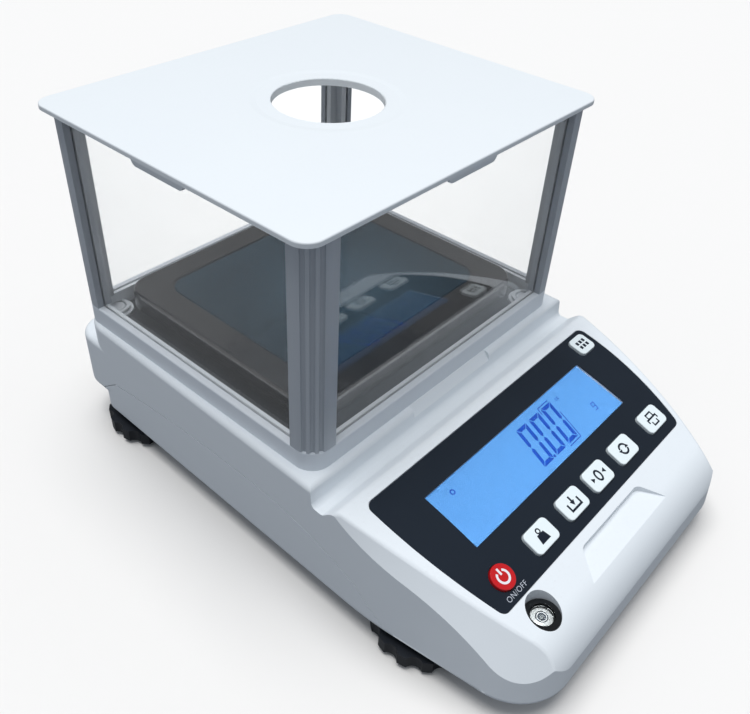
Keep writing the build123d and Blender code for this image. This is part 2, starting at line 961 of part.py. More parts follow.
display_glass_drop = panel_recess - overlay_thickness + window_thickness + window_bow + display_gap
level_case_radius = level_bore_radius - level_clearance
level_case_top_z = level_top_z - level_case_drop
level_vial_z = level_floor_z + level_lip + level_case_floor
level_vial_radius = level_case_radius - level_case_wall - level_clearance
post_screw_places = [
    (side * (shield_width / 2 - post_screw_inset), shield_y + end * (shield_depth / 2 - post_screw_inset))
    for side in (-1, 1)
    for end in (-1, 1)
]
post_screw_top_z = plateau_z + post_screw_recess + post_screw_length
glass_bottom_z = frame_top_z - glass_slot_depth
glass_top_z = post_top_z - glass_top_gap
pane_width = shield_width - 2 * post_width + 2 * glass_grip
pane_depth = shield_depth - 2 * post_depth + 2 * glass_grip
slot_x = shield_width / 2 - glass_slot_inset - glass_slot / 2
slot_y = shield_depth / 2 - glass_slot_inset - glass_slot / 2
lid_top_z = post_top_z + lid_thickness
tab_x = lid_width / 2 - lid_tab_setback - lid_tab_thickness
tab_y = lid_depth / 2 - lid_tab_setback - lid_tab_thickness
draft_ring_z = plateau_z + floor_thickness + draft_ring_height
pan_under_z = pan_top_z - pan_well_drop - pan_sheet
support_z = pan_under_z - button_height - support_thickness
support_pin_radius = pan_socket_radius - pan_socket_wall - support_pin_clearance
support_pin_z = pan_under_z - support_gap
button_places = [(side * button_x, shield_y + end * button_y) for side in (-1, 1) for end in (-1, 1)]
column_gap = platform_travel + platform_clearance
cell_rear_y = shield_y + cell_free_end
cell_centre_y = cell_rear_y - cell_length / 2
cell_front_y = cell_rear_y - cell_length
block_y = cell_front_y + cell_base_length / 2
base_bottom_z = bottom_z + wall
base_y = cell_front_y + cell_foot_length / 2 - base_overhang
cell_screw_seat_z = base_bottom_z + cell_screw_recess
cell_screw_places = [(0, block_y - cell_screw_spacing / 2), (0, block_y + cell_screw_spacing / 2)]
cell_screw_length = cell_bottom_z + cell_thread_depth - cell_screw_seat_z - cell_screw_gap
base_screw_places = [
    (side * (cell_foot_width / 2 - base_screw_inset), base_y + end * (cell_foot_length / 2 - base_screw_inset))
    for side in (-1, 1)
    for end in (-1, 1)
]
main_board_z = main_board_height
jack_body_y = rear_y - wall - socket_clearance - jack_body_length / 2
port_body_y = rear_y - wall - socket_clearance - port_depth / 2
wheel_top_z = wheel_top_height
main_board_top_z = main_board_height + board_thickness
main_screw_top_z = main_board_top_z + main_screw_length
jack_z = main_board_top_z + jack_height / 2
port_z = main_board_top_z + port_height / 2


def board_post(x, place):
    """A post that hangs under the panel and ends on the board it carries."""
    with BuildPart() as post:
        with BuildSketch(console_plane(x, place)):
            Circle(board_post_radius)
        extrude(amount=-2 * board_drop)
        with BuildSketch(board_plane.offset(board_thickness)):
            Rectangle(2 * across, 2 * across)
        extrude(amount=across, mode=Mode.INTERSECT)
    return post.part


def socket_sketch(x, z, width, height, radius, depth):
    """A rounded outline on the rear wall, seen from behind."""
    with BuildSketch(Plane(origin=(x, rear_y - depth, z), x_dir=(-1, 0, 0), z_dir=(0, 1, 0))) as outline:
        RectangleRounded(width, height, radius)
    return outline.sketch


def round_sketch(x, z, radius, depth):
    """A round outline on the rear wall."""
    with BuildSketch(Plane(origin=(x, rear_y - depth, z), x_dir=(-1, 0, 0), z_dir=(0, 1, 0))) as outline:
        Circle(radius)
    return outline.sketch


with BuildPart() as bosses:
    for x, y in shell_screw_places:
        add(cylinder_between(x, y, shell_post_z, plateau_z, shell_post_radius))
    for x, place in board_post_places:
        add(board_post(x, place))
    add(cylinder_between(level_x, level_y, level_floor_z, plateau_z, level_bore_radius + level_tube_wall))
    extrude(side_sketch(wall / 2), amount=across, both=True, mode=Mode.INTERSECT)
    for x, y in main_post_places:
        add(cylinder_between(x, y, main_board_top_z, plateau_z - wall / 2, board_post_radius))

with BuildPart() as upper_shell:
    add(outer_form.part)
    add(cavity.part, mode=Mode.SUBTRACT)
    extrude(parting_sketch(seam_gap), amount=across, both=True, mode=Mode.SUBTRACT)
    add(tongue(seam_gap), mode=Mode.SUBTRACT)
    add(bosses.part)
    for x, y in shell_screw_places:
        add(
            cylinder_between(x, y, 0, shell_screw_top_z + cut_past, shell_screw_radius + screw_clearance),
            mode=Mode.SUBTRACT,
        )
    for x, y in main_post_places:
        add(cylinder_between(x, y, 0, main_screw_top_z + cut_past, pilot_radius), mode=Mode.SUBTRACT)
    add(
        cylinder_between(level_x, level_y, level_floor_z + level_lip, plateau_z, level_bore_radius),
        mode=Mode.SUBTRACT,
    )
    add(cylinder_between(level_x, level_y, 0, plateau_z, level_bore_radius - level_lip), mode=Mode.SUBTRACT)
    add(panel_layer(-panel_recess, 2 * wall, 0), mode=Mode.SUBTRACT)
    extrude(window_sketch(0), amount=-2 * wall, mode=Mode.SUBTRACT)
    for name, x, place, shape in keys:
        extrude(key_sketch(x, place, shape, 0, key_clearance), amount=-2 * wall, mode=Mode.SUBTRACT)
    add(
        cylinder_between(0, shield_y, shoulder_z, plateau_z + cut_past, column_hole_radius),
        mode=Mode.SUBTRACT,
    )
    for x, y in stud_places:
        add(cylinder_between(x, y, shoulder_z, plateau_z + cut_past, stud_pin_radius), mode=Mode.SUBTRACT)
    extrude(
        round_sketch(jack_x, jack_z, jack_radius + socket_clearance, -1),
        amount=-2 * wall,
        mode=Mode.SUBTRACT,
    )
    extrude(
        socket_sketch(
            port_x,
            port_z,
            port_shell_width + 2 * socket_clearance,
            port_shell_height + 2 * socket_clearance,
            port_shell_radius,
            -1,
        ),
        amount=-2 * wall,
        mode=Mode.SUBTRACT,
    )

with BuildPart() as lower_shell:
    add(outer_form.part)
    add(cavity.part, mode=Mode.SUBTRACT)
    extrude(parting_sketch(0), amount=across, both=True, mode=Mode.INTERSECT)
    add(tongue(0))
    for x, y in shell_screw_places:
        add(cylinder_between(x, y, bottom_z, shell_post_z, shell_post_radius))
    for name, x, y in foot_places:
        add(cylinder_between(x, y, bottom_z, foot_boss_top_z, foot_boss_radius))
    for x, y in stop_places:
        add(cylinder_between(x, y, bottom_z, stop_seat_z, stop_radius + wall))
    for x, y in shell_screw_places:
        add(
            cylinder_between(
                x, y, 0, bottom_z + shell_screw_recess, shell_screw_head_radius + socket_clearance
            ),
            mode=Mode.SUBTRACT,
        )
        add(cylinder_between(x, y, 0, plateau_z, shell_screw_radius + screw_clearance), mode=Mode.SUBTRACT)
    for name, x, y in foot_places:
        add(cylinder_between(x, y, insert_bottom_z, plateau_z, insert_radius), mode=Mode.SUBTRACT)
        add(
            cylinder_between(x, y, 0, plateau_z, stud_thread_radius + 2 * insert_clearance),
            mode=Mode.SUBTRACT,
        )
    for x, y in stop_places:
        add(
            cylinder_between(
                x, y, stop_seat_z - stop_shank_length, stop_seat_z, stop_shank_radius + screw_clearance
            ),
            mode=Mode.SUBTRACT,
        )
    for x, y in base_screw_places:
        add(
            cylinder_between(
                x, y, bottom_z + wall / 3, base_bottom_z, shell_screw_radius + screw_clearance
            ),
            mode=Mode.SUBTRACT,
        )


# Panel overlay and display window
with BuildPart() as keypad_overlay:
    add(panel_layer(-panel_recess, overlay_thickness - panel_recess, overlay_clearance))
    extrude(window_sketch(0), amount=2 * wall, both=True, mode=Mode.SUBTRACT)
    for name, x, place, shape in keys:
        extrude(
            key_sketch(x, place, shape, 0, key_clearance), amount=2 * wall, both=True, mode=Mode.SUBTRACT
        )

with BuildPart() as lcd_window:
    add(console_band(overlay_thickness - panel_recess - window_thickness, overlay_thickness - panel_recess))
    extrude(window_sketch(-window_clearance), amount=2 * wall, both=True, mode=Mode.INTERSECT)


def make_key(x, place, shape):
    """A key cap with its flange under the panel and its stem over the switch."""
    flange_depth = wall + key_flange_gap
    stem_depth = depth_to_board(place, board_thickness + switch_top + key_travel + key_stem_gap)
    with BuildPart() as key:
        extrude(key_sketch(x, place, shape, key_stand, 0), amount=-key_stand - flange_depth)
        crown = key.faces().filter_by(lambda face: face.normal_at().Z > 0.9)
        fillet(crown.edges(), key_edge_radius)
        extrude(key_sketch(x, place, shape, -flange_depth, key_flange), amount=-key_flange_thickness)
        with BuildSketch(console_plane(x, place, -flange_depth)):
            Circle(key_stem_radius)
        extrude(amount=flange_depth - stem_depth)
    return key


key_parts = [(name, make_key(x, place, shape)) for name, x, place, shape in keys]

# Display board, its switches and the display
with BuildPart() as display_board:
    with BuildSketch(board_plane):
        with BuildLine():
            Polyline(
                (-board_half_width, window_place - board_start),
                (board_half_width, window_place - board_start),
                (board_front_half_width, window_place - board_end),
                (-board_front_half_width, window_place - board_end),
                close=True,
            )
        make_face()
    extrude(amount=board_thickness)
    for x, place in board_post_places:
        with BuildSketch(console_plane(x, place)):
            Circle(pilot_radius + screw_clearance)
        extrude(amount=-2 * board_drop, mode=Mode.SUBTRACT)


def on_board(x, place, height):
    """A plane over the display board where the normal of the console meets it."""
    y, z = console_point(place, -depth_to_board(place, height))
    return Plane(origin=(x, y, z), x_dir=(1, 0, 0), z_dir=board_plane.z_dir)


with BuildPart() as key_switches:
    for name, x, place, shape in keys:
        with BuildSketch(on_board(x, place, board_thickness)):
            Rectangle(switch_size, switch_size)
        extrude(amount=switch_height)
        with BuildSketch(on_board(x, place, board_thickness)):
            Circle(switch_button_radius)
        extrude(amount=switch_top)

with BuildPart() as lcd_module:
    with BuildSketch(console_plane(window_x, window_place, board_thickness - board_drop)):
        Rectangle(
            window_right - window_left + 2 * display_margin,
            window_end - window_start + 2 * display_margin,
        )
    extrude(amount=board_drop - board_thickness - display_drop)
    with BuildSketch(console_plane(window_x, window_place, -display_glass_drop)):
        Rectangle(
            window_right - window_left - 2 * window_clearance,
            window_end - window_start - 2 * window_clearance,
        )
    extrude(amount=display_glass_drop - display_drop)

# Spirit level
with BuildPart() as level_case:
    add(cylinder_between(level_x, level_y, level_floor_z + level_lip, level_case_top_z, level_case_radius))
    fillet(level_edges(level_case, level_case_top_z), level_case_edge_radius)
    add(
        cylinder_between(level_x, level_y, level_vial_z, plateau_z, level_case_radius - level_case_wall),
        mode=Mode.SUBTRACT,
    )

with BuildPart() as level_vial:
    add(
        cylinder_between(
            level_x, level_y, level_vial_z, level_vial_z + level_vial_height, level_vial_radius
        )
    )
    fillet(level_edges(level_vial, level_vial_z + level_vial_height), level_case_edge_radius)


# Draft shield
def rounded_block(width, depth, radius, low_z, high_z):
    """A block with round corners, centred on the draft shield."""
    with BuildPart() as block:
        with BuildSketch(shield_plane(low_z)):
            RectangleRounded(width, depth, radius)
        extrude(amount=high_z - low_z)
    return block.part


corners = [("front_left", -1, -1), ("front_right", 1, -1), ("rear_left", -1, 1), ("rear_right", 1, 1)]


def slot_sketch(level, clearance):
    """The four glass slots, seen from above."""
    with BuildSketch(shield_plane(level)) as slots:
        with Locations((0, -slot_y), (0, slot_y)):
            Rectangle(pane_width + 2 * clearance, glass_slot)
        with Locations((-slot_x, 0), (slot_x, 0)):
            Rectangle(glass_slot, pane_depth + 2 * clearance)
    return slots.sketch


with BuildPart() as shield_frame:
    add(rounded_block(shield_width, shield_depth, shield_corner_radius, plateau_z, frame_top_z))
    fillet(level_edges(shield_frame, frame_top_z), frame_edge_radius)
    add(
        rounded_block(
            shield_width - 2 * frame_wall,
            shield_depth - 2 * frame_wall,
            frame_inner_radius,
            0,
            post_top_z,
        ),
        mode=Mode.SUBTRACT,
    )
    with BuildSketch(shield_plane(plateau_z)):
        with Locations(*[(x, y - shield_y) for x, y in stud_places]):
            Circle(gusset_radius)
    extrude(amount=gusset_height)
    with BuildSketch(shield_plane(plateau_z)):
        with Locations(*[(x, y - shield_y) for x, y in stud_places]):
            Circle(gusset_ring_radius)
    extrude(amount=gusset_height + gusset_ring_height)
    for x, y in stud_places:
        add(
            cylinder_between(
                x, y, 0, plateau_z + gusset_height + gusset_ring_height, stud_radius + stud_clearance
            ),
            mode=Mode.SUBTRACT,
        )
    extrude(slot_sketch(frame_top_z, glass_slot_clearance), amount=-glass_slot_depth, mode=Mode.SUBTRACT)
    for x, y in post_screw_places:
        add(
            cylinder_between(
                x, y, 0, plateau_z + post_screw_recess, post_screw_head_radius + screw_clearance
            ),
            mode=Mode.SUBTRACT,
        )
        add(cylinder_between(x, y, 0, frame_top_z, post_screw_radius + screw_clearance), mode=Mode.SUBTRACT)


def make_post(side, end):
    """A corner post with fluted outer corner and a slot for each of its two panes."""
    corner_x = side * (shield_width / 2 - shield_corner_radius)
    corner_y = end * (shield_depth / 2 - shield_corner_radius)
    turns = [45 + flute_angle * (index - (flute_count - 1) / 2) for index in range(flute_count)]
    with BuildPart() as post:
        with BuildSketch(shield_plane(frame_top_z)) as section:
            with Locations((side * (shield_width - post_width) / 2, end * (shield_depth - post_depth) / 2)):
                Rectangle(post_width, post_depth)
            with Locations((side * (shield_width / 2 - post_width), end * (shield_depth / 2 - post_depth))):
                Rectangle(2 * post_notch, 2 * post_notch, mode=Mode.SUBTRACT)
            corner = (side * shield_width / 2, end * shield_depth / 2, 0)
            outer = section.vertices().sort_by_distance(corner)[0]
            fillet(outer, shield_corner_radius)
            for turn in turns:
                reach_x = side * shield_corner_radius * cos(radians(turn))
                reach_y = end * shield_corner_radius * sin(radians(turn))
                with Locations((corner_x + reach_x, corner_y + reach_y)):
                    Circle(flute_radius, mode=Mode.SUBTRACT)
        extrude(amount=post_height)
        extrude(slot_sketch(frame_top_z, glass_slot_clearance), amount=post_height, mode=Mode.SUBTRACT)
        screw_x = side * (shield_width / 2 - post_screw_inset)
        screw_y = shield_y + end * (shield_depth / 2 - post_screw_inset)
        add(
            cylinder_between(
                screw_x, screw_y, 0, post_screw_top_z + cut_past, post_screw_radius + screw_clearance
            ),
            mode=Mode.SUBTRACT,
        )
    return post


post_parts = [("post_" + name, make_post(side, end)) for name, side, end in corners]


def make_pane(width, depth, x, y):
    """A glass pane that stands in the frame's slot and reaches the top of the posts."""
    with BuildPart() as pane:
        with BuildSketch(Plane(origin=(x, shield_y + y, glass_bottom_z), z_dir=(0, 0, 1))):
            Rectangle(width, depth)
        extrude(amount=glass_top_z - glass_bottom_z)
    return pane


pane_parts = [
    ("glass_front", make_pane(pane_width, glass_thickness, 0, -slot_y)),
    ("glass_rear", make_pane(pane_width, glass_thickness, 0, slot_y)),
    ("glass_left", make_pane(glass_thickness, pane_depth, -slot_x, 0)),
    ("glass_right", make_pane(glass_thickness, pane_depth, slot_x, 0)),
]

with BuildPart() as shield_studs:
    for x, y in stud_places:
        with BuildSketch(Plane(origin=(x, y, plateau_z), z_dir=(0, 0, 1))):
            Circle(stud_radius)
        extrude(amount=stud_height)
    fillet(level_edges(shield_studs, plateau_z + stud_height), stud_radius / 3)
    for x, y in stud_places:
        add(cylinder_between(x, y, plateau_z - wall, plateau_z, stud_pin_radius))

with BuildPart() as shield_lid:
    add(rounded_block(lid_width, lid_depth, lid_corner_radius, post_top_z, lid_top_z))
    fillet(level_edges(shield_lid, lid_top_z), lid_edge_radius)
    add(
        cylinder_between(
            0, shield_y, post_top_z - lid_collar_drop, post_top_z, lid_hole_radius + lid_collar_wall
        )
    )
    with Locations((0, shield_y, lid_top_z - lid_dish_depth / 2)):
        Cone(lid_dish_radius - lid_dish_slope, lid_dish_radius, lid_dish_depth, mode=Mode.SUBTRACT)
    add(cylinder_between(0, shield_y, 0, lid_top_z + cut_past, lid_hole_radius), mode=Mode.SUBTRACT)
    hole_edge = level_edges(shield_lid, lid_top_z - lid_dish_depth).sort_by(SortBy.LENGTH)[0]
    fillet(hole_edge, lid_hole_edge_radius)
    for way_x, way_y, reach in ((1, 0, tab_x), (-1, 0, tab_x), (0, 1, tab_y), (0, -1, tab_y)):
        tab_plane = Plane(
            origin=(way_x * reach, shield_y + way_y * reach, post_top_z),
            x_dir=(-way_y, way_x, 0),
            z_dir=(way_x, way_y, 0),
        )
        with BuildSketch(tab_plane) as tab:
            with Locations((0, -lid_tab_drop / 2)):
                Rectangle(lid_tab_length, lid_tab_drop)
            fillet(tab.vertices().group_by(Axis.Y)[0], lid_tab_radius)
        extrude(amount=lid_tab_thickness)

with BuildPart() as chamber_floor:
    add(
        rounded_block(
            shield_width - 2 * frame_wall - 2 * floor_clearance,
            shield_depth - 2 * frame_wall - 2 * floor_clearance,
            floor_corner_radius,
            plateau_z,
            plateau_z + floor_thickness,
        )
    )
    add(cylinder_between(0, shield_y, plateau_z, draft_ring_z, column_hole_radius + draft_ring_wall))
    add(cylinder_between(0, shield_y, 0, draft_ring_z, column_hole_radius), mode=Mode.SUBTRACT)
    for x, y in stud_places:
        add(cylinder_between(x, y, 0, draft_ring_z, gusset_radius + floor_clearance), mode=Mode.SUBTRACT)

# Weighing pan and its support
with BuildPart() as weighing_pan:
    add(rounded_block(pan_width, pan_depth, pan_corner_radius, pan_top_z - pan_skirt, pan_top_z))
    fillet(level_edges(weighing_pan, pan_top_z), pan_edge_radius)
    add(rounded_block(pan_width - 2 * pan_sheet, pan_depth - 2 * pan_sheet, pan_corner_radius - pan_sheet,
                      pan_top_z - pan_skirt, pan_top_z - pan_sheet), mode=Mode.SUBTRACT)
    add(
        rounded_block(
            pan_well_width + 2 * pan_sheet,
            pan_well_depth + 2 * pan_sheet,
            pan_well_radius + pan_sheet,
            pan_under_z,
            pan_top_z - pan_sheet,
        )
    )
    add(
        rounded_block(
            pan_well_width, pan_well_depth, pan_well_radius, pan_top_z - pan_well_drop, pan_top_z
        ),
        mode=Mode.SUBTRACT,
    )
    fillet(
        level_edges(weighing_pan, pan_top_z).filter_by(
            lambda edge: abs(edge.center().X) < pan_well_width / 2 + 1 and abs(
                edge.center().Y - shield_y
            ) < pan_well_depth / 2 + 1
        ),
        pan_well_drop * 0.8,
    )
    add(cylinder_between(0, shield_y, pan_under_z - pan_socket_depth, pan_under_z, pan_socket_radius))
    add(
        cylinder_between(0, shield_y, 0, pan_under_z, pan_socket_radius - pan_socket_wall),
        mode=Mode.SUBTRACT,
    )

with BuildPart() as pan_support:
    add(
        rounded_block(
            support_width, support_depth, support_corner_radius, support_z, support_z + support_thickness
        )
    )
    window_width = (support_width - (support_windows + 1) * support_rim) / support_windows
    window_depth = (support_depth - (support_windows + 1) * support_rim) / support_windows
    with BuildSketch(shield_plane(support_z)):
        with GridLocations(
            window_width + support_rim, window_depth + support_rim, support_windows, support_windows
        ):
            RectangleRounded(window_width, window_depth, support_window_radius)
    extrude(amount=support_thickness, mode=Mode.SUBTRACT)
    add(cylinder_between(0, shield_y, support_z, support_z + support_thickness, column_head_radius))
    for x, y in button_places:
        add(cylinder_between(x, y, support_z, support_z + support_thickness, button_radius + button_rim))
    add(
        cylinder_between(
            0, shield_y, cell_top_z + column_gap, support_z + support_thickness, column_radius
        )
    )
    add(cylinder_between(0, shield_y, support_z, support_pin_z, support_pin_radius))

with BuildPart() as pan_buttons:
    for x, y in button_places:
        add(cylinder_between(x, y, support_z + support_thickness, pan_under_z, button_radius))

# Load cell, its base and its overload stops
with BuildPart() as load_cell:
    with BuildSketch(Plane.YZ) as beam:
        with Locations((cell_centre_y, (cell_top_z + cell_bottom_z) / 2)):
            Rectangle(cell_length, cell_height)
            Rectangle(cell_hole_spacing, cell_slot, mode=Mode.SUBTRACT)
            with GridLocations(cell_hole_spacing, 0, 2, 1):
                Circle(cell_hole_radius, mode=Mode.SUBTRACT)
    extrude(amount=cell_width / 2, both=True)
    for x, y in cell_screw_places:
        add(
            cylinder_between(
                x, y, 0, cell_bottom_z + cell_thread_depth, cell_screw_radius + screw_clearance
            ),
            mode=Mode.SUBTRACT,
        )

with BuildPart() as load_cell_base:
    with BuildSketch(Plane(origin=(0, base_y, base_bottom_z), z_dir=(0, 0, 1))) as foot:
        Rectangle(cell_foot_width, cell_foot_length)
        fillet(foot.vertices(), base_corner_radius)
    extrude(amount=cell_foot_thickness)
    with BuildSketch(Plane(origin=(0, block_y, base_bottom_z), z_dir=(0, 0, 1))):
        Rectangle(cell_width, cell_base_length)
    extrude(amount=cell_bottom_z - base_bottom_z)
    for x, y in cell_screw_places:
        add(
            cylinder_between(x, y, 0, cell_screw_seat_z, cell_screw_head_radius + screw_clearance),
            mode=Mode.SUBTRACT,
        )
        add(cylinder_between(x, y, 0, plateau_z, cell_screw_radius + screw_clearance), mode=Mode.SUBTRACT)
    for x, y in base_screw_places:
        add(cylinder_between(x, y, 0, plateau_z, shell_screw_radius + screw_clearance), mode=Mode.SUBTRACT)

with BuildPart() as overload_stops:
    for x, y in stop_places:
        add(cylinder_between(x, y, stop_seat_z, cell_bottom_z - stop_gap, stop_radius))
        add(cylinder_between(x, y, stop_seat_z - stop_shank_length, stop_seat_z, stop_shank_radius))


def screw(x, y, seat_z, head_radius, head_height, shank_radius, length, up=True):
    """A pan-head screw whose head bears on a seat."""
    way = 1 if up else -1
    with BuildPart() as fastener:
        with BuildSketch(Plane(origin=(x, y, seat_z), z_dir=(0, 0, -way))):
            Circle(head_radius)
        extrude(amount=head_height)
        with BuildSketch(Plane(origin=(x, y, seat_z), z_dir=(0, 0, way))):
            Circle(shank_radius)
        extrude(amount=length)
    return fastener.part


with BuildPart() as cell_screws:
    for x, y in cell_screw_places:
        add(
            screw(
                x,
                y,
                cell_screw_seat_z,
                cell_screw_head_radius,
                cell_screw_head,
                cell_screw_radius,
                cell_screw_length,
            )
        )
    for x, y in base_screw_places:
        add(
            screw(
                x,
                y,
                base_bottom_z + cell_foot_thickness,
                shell_screw_head_radius,
                shell_screw_head,
                shell_screw_radius,
                base_screw_length,
                up=False,
            )
        )

with BuildPart() as shell_screws:
    for x, y in shell_screw_places:
        add(
            screw(
                x,
                y,
                shell_screw_seat_z,
                shell_screw_head_radius,
                shell_screw_head,
                shell_screw_radius,
                shell_screw_length,
            )
        )

with BuildPart() as post_screws:
    for x, y in post_screw_places:
        add(
            screw(
                x,
                y,
                plateau_z + post_screw_recess,
                post_screw_head_radius,
                post_screw_head,
                post_screw_radius,
                post_screw_length,
            )
        )

# Main board and the sockets in the rear wall
with BuildPart() as main_board:
    with BuildSketch(Plane(origin=(0, main_board_y, main_board_z), z_dir=(0, 0, 1))):
        Rectangle(2 * main_board_half_width, main_board_length)
    extrude(amount=board_thickness)
    for x, y in main_post_places:
        add(cylinder_between(x, y, 0, plateau_z, pilot_radius + screw_clearance), mode=Mode.SUBTRACT)

with BuildPart() as board_screws:
    for x, y in main_post_places:
        add(
            screw(
                x,
                y,
                main_board_z,
                board_screw_head_radius,
                board_screw_head,
                pilot_radius,
                main_screw_length,
            )
        )
    for x, place in board_post_places:
        with BuildSketch(on_board(x, place, 0)):
            Circle(board_screw_head_radius)
        extrude(amount=-board_screw_head)
        with BuildSketch(on_board(x, place, 0)):
            Circle(pilot_radius)
        extrude(amount=board_thickness)

with BuildPart() as power_socket:
    with BuildSketch(Plane(origin=(jack_x, jack_body_y, main_board_top_z), z_dir=(0, 0, 1))):
        Rectangle(jack_width, jack_body_length)
    extrude(amount=jack_height)
    extrude(round_sketch(jack_x, jack_z, jack_radius, socket_inset), amount=-wall)
    extrude(
        round_sketch(jack_x, jack_z, jack_bore_radius, socket_inset),
        amount=-jack_bore_depth,
        mode=Mode.SUBTRACT,
    )
    extrude(
        round_sketch(jack_x, jack_z, jack_pin_radius, socket_inset + jack_pin_setback),
        amount=jack_pin_setback - jack_bore_depth,
    )

with BuildPart() as data_port:
    with BuildSketch(Plane(origin=(port_x, port_body_y, main_board_top_z), z_dir=(0, 0, 1))):
        Rectangle(port_width, port_depth)
    extrude(amount=port_height)
    extrude(
        socket_sketch(port_x, port_z, port_shell_width, port_shell_height, port_shell_radius, socket_inset),
        amount=-wall,
    )
    extrude(
        socket_sketch(port_x, port_z, port_shell_width - 2 * port_wall, port_shell_height - 2 * port_wall,
                      port_shell_radius - port_wall, socket_inset),
        amount=-port_bore_depth,
        mode=Mode.SUBTRACT,
    )

# Levelling feet
def make_pad(x, y):
    """A rubber-soled pad that stands still while the wheel above it turns."""
    with BuildPart() as pad:
        add(cylinder_between(x, y, 0, pad_height, pad_radius))
        add(cylinder_between(x, y, pad_height, pad_height + pad_pin_height, pad_pin_radius))
        fillet(level_edges(pad, 0), pad_edge_radius)
    return pad


def make_wheel(x, y):
    """A scalloped hand wheel with its threaded stud."""
    with BuildPart() as wheel:
        with BuildSketch(Plane(origin=(x, y, pad_height), z_dir=(0, 0, 1))):
            Circle(wheel_radius)
            with PolarLocations(wheel_radius + wheel_scallop_reach, wheel_lobes):
                Circle(wheel_scallop_radius, mode=Mode.SUBTRACT)
        extrude(amount=wheel_top_z - pad_height)
        add(cylinder_between(x, y, wheel_top_z, wheel_top_z + stud_reach, stud_thread_radius))
        add(
            cylinder_between(
                x,
                y,
                0,
                pad_height + pad_pin_height + running_clearance,
                pad_pin_radius + running_clearance,
            ),
            mode=Mode.SUBTRACT,
        )
    return wheel


pad_parts = [("foot_pad_" + name, make_pad(x, y)) for name, x, y in foot_places]
wheel_parts = [("foot_wheel_" + name, make_wheel(x, y)) for name, x, y in foot_places]

with BuildPart() as foot_inserts:
    for name, x, y in foot_places:
        add(cylinder_between(x, y, insert_bottom_z, insert_bottom_z + insert_length, insert_radius))
    for name, x, y in foot_places:
        add(cylinder_between(x, y, 0, plateau_z, stud_thread_radius + insert_clearance), mode=Mode.SUBTRACT)

finished = [
    ("upper_shell", upper_shell),
    ("lower_shell", lower_shell),
    ("keypad_overlay", keypad_overlay),
    ("lcd_window", lcd_window),
    ("display_board", display_board),
    ("key_switches", key_switches),
    ("lcd_module", lcd_module),
    ("level_case", level_case),
    ("level_vial", level_vial),
    ("shield_frame", shield_frame),
    ("shield_studs", shield_studs),
    ("shield_lid", shield_lid),
    ("chamber_floor", chamber_floor),
    ("weighing_pan", weighing_pan),
    ("pan_support", pan_support),
    ("pan_buttons", pan_buttons),
    ("load_cell", load_cell),
    ("load_cell_base", load_cell_base),
    ("overload_stops", overload_stops),
    ("cell_screws", cell_screws),
    ("shell_screws", shell_screws),
    ("post_screws", post_screws),
    ("board_screws", board_screws),
    ("main_board", main_board),
    ("power_socket", power_socket),
    ("data_port", data_port),
    ("foot_inserts", foot_inserts),
]
finished += key_parts + post_parts + pane_parts + pad_parts + wheel_parts
for label, piece in finished:
    piece.part.label = label
    export_step(piece.part, "parts/" + label + ".step")
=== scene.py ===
import bmesh
import bpy
from math import cos, hypot, pi, radians, sin
from mathutils import Matrix, Vector


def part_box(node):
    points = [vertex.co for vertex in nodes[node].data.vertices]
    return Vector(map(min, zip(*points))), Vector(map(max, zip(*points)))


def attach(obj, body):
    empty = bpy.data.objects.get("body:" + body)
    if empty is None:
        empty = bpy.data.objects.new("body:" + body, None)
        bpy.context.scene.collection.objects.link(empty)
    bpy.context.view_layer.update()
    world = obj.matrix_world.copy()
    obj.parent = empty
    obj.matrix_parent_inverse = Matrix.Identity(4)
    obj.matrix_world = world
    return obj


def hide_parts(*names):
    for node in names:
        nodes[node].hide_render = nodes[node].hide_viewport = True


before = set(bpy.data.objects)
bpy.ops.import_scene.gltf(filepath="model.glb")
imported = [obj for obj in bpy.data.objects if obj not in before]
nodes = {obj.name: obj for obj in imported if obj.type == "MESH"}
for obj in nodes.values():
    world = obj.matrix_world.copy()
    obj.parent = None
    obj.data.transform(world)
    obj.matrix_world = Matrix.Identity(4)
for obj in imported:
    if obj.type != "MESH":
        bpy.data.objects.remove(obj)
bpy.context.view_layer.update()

# Studio: a pale sheet that runs out of sight, one broad lamp overhead and an even, slightly blue room.
# The camera stands over the left front corner and looks down at the weighing chamber.
CAMERA_PLACE = Vector((-0.253809, -0.191954, 0.318042))
CAMERA_RIGHT = Vector((0.664192, -0.746194, 0.045216))
CAMERA_DOWN = Vector((-0.444435, -0.442782, -0.778731))
CAMERA_AHEAD = Vector((0.601105, 0.497131, -0.625727))
FOCAL_PIXELS = 827.775
PICTURE_WIDTH = 750
PICTURE_HEIGHT = 714
OPTICAL_X = 372.78
OPTICAL_Y = 354.9
SENSOR_WIDTH = 36.0
CLIP_START = 0.01
LAMP_DIRECTION = Vector((-0.03, 0.10, 1.0))
LAMP_STRENGTH = 2.53
LAMP_SPREAD = 40.0
WALL_COLOUR = (0.15, 0.17, 0.195, 1)
CEILING_COLOUR = (0.46, 0.50, 0.55, 1)
HORIZON_COLOUR = (0.96, 0.96, 0.96, 1)
HORIZON_THROUGH_GLASS = (1.15, 1.15, 1.15, 1)
DIM_HORIZON = (0.36, 0.37, 0.38, 1)
SKY_COLOUR = (0.16, 0.165, 0.17, 1)
ZENITH_COLOUR = (0.34, 0.35, 0.37, 1)
ROOM_STOPS = [(0.05, WALL_COLOUR), (0.8, CEILING_COLOUR)]
MIRROR_STOPS = [
    (0.0, DIM_HORIZON), (0.10, DIM_HORIZON), (0.26, SKY_COLOUR), (0.86, SKY_COLOUR), (0.97, ZENITH_COLOUR),
]
FLOOR_REACH = 30.0
SHEET_COLOUR = (0.800, 0.780, 0.757, 1)
SHEET_THROUGH_GLASS = (0.99, 0.975, 0.95, 1)
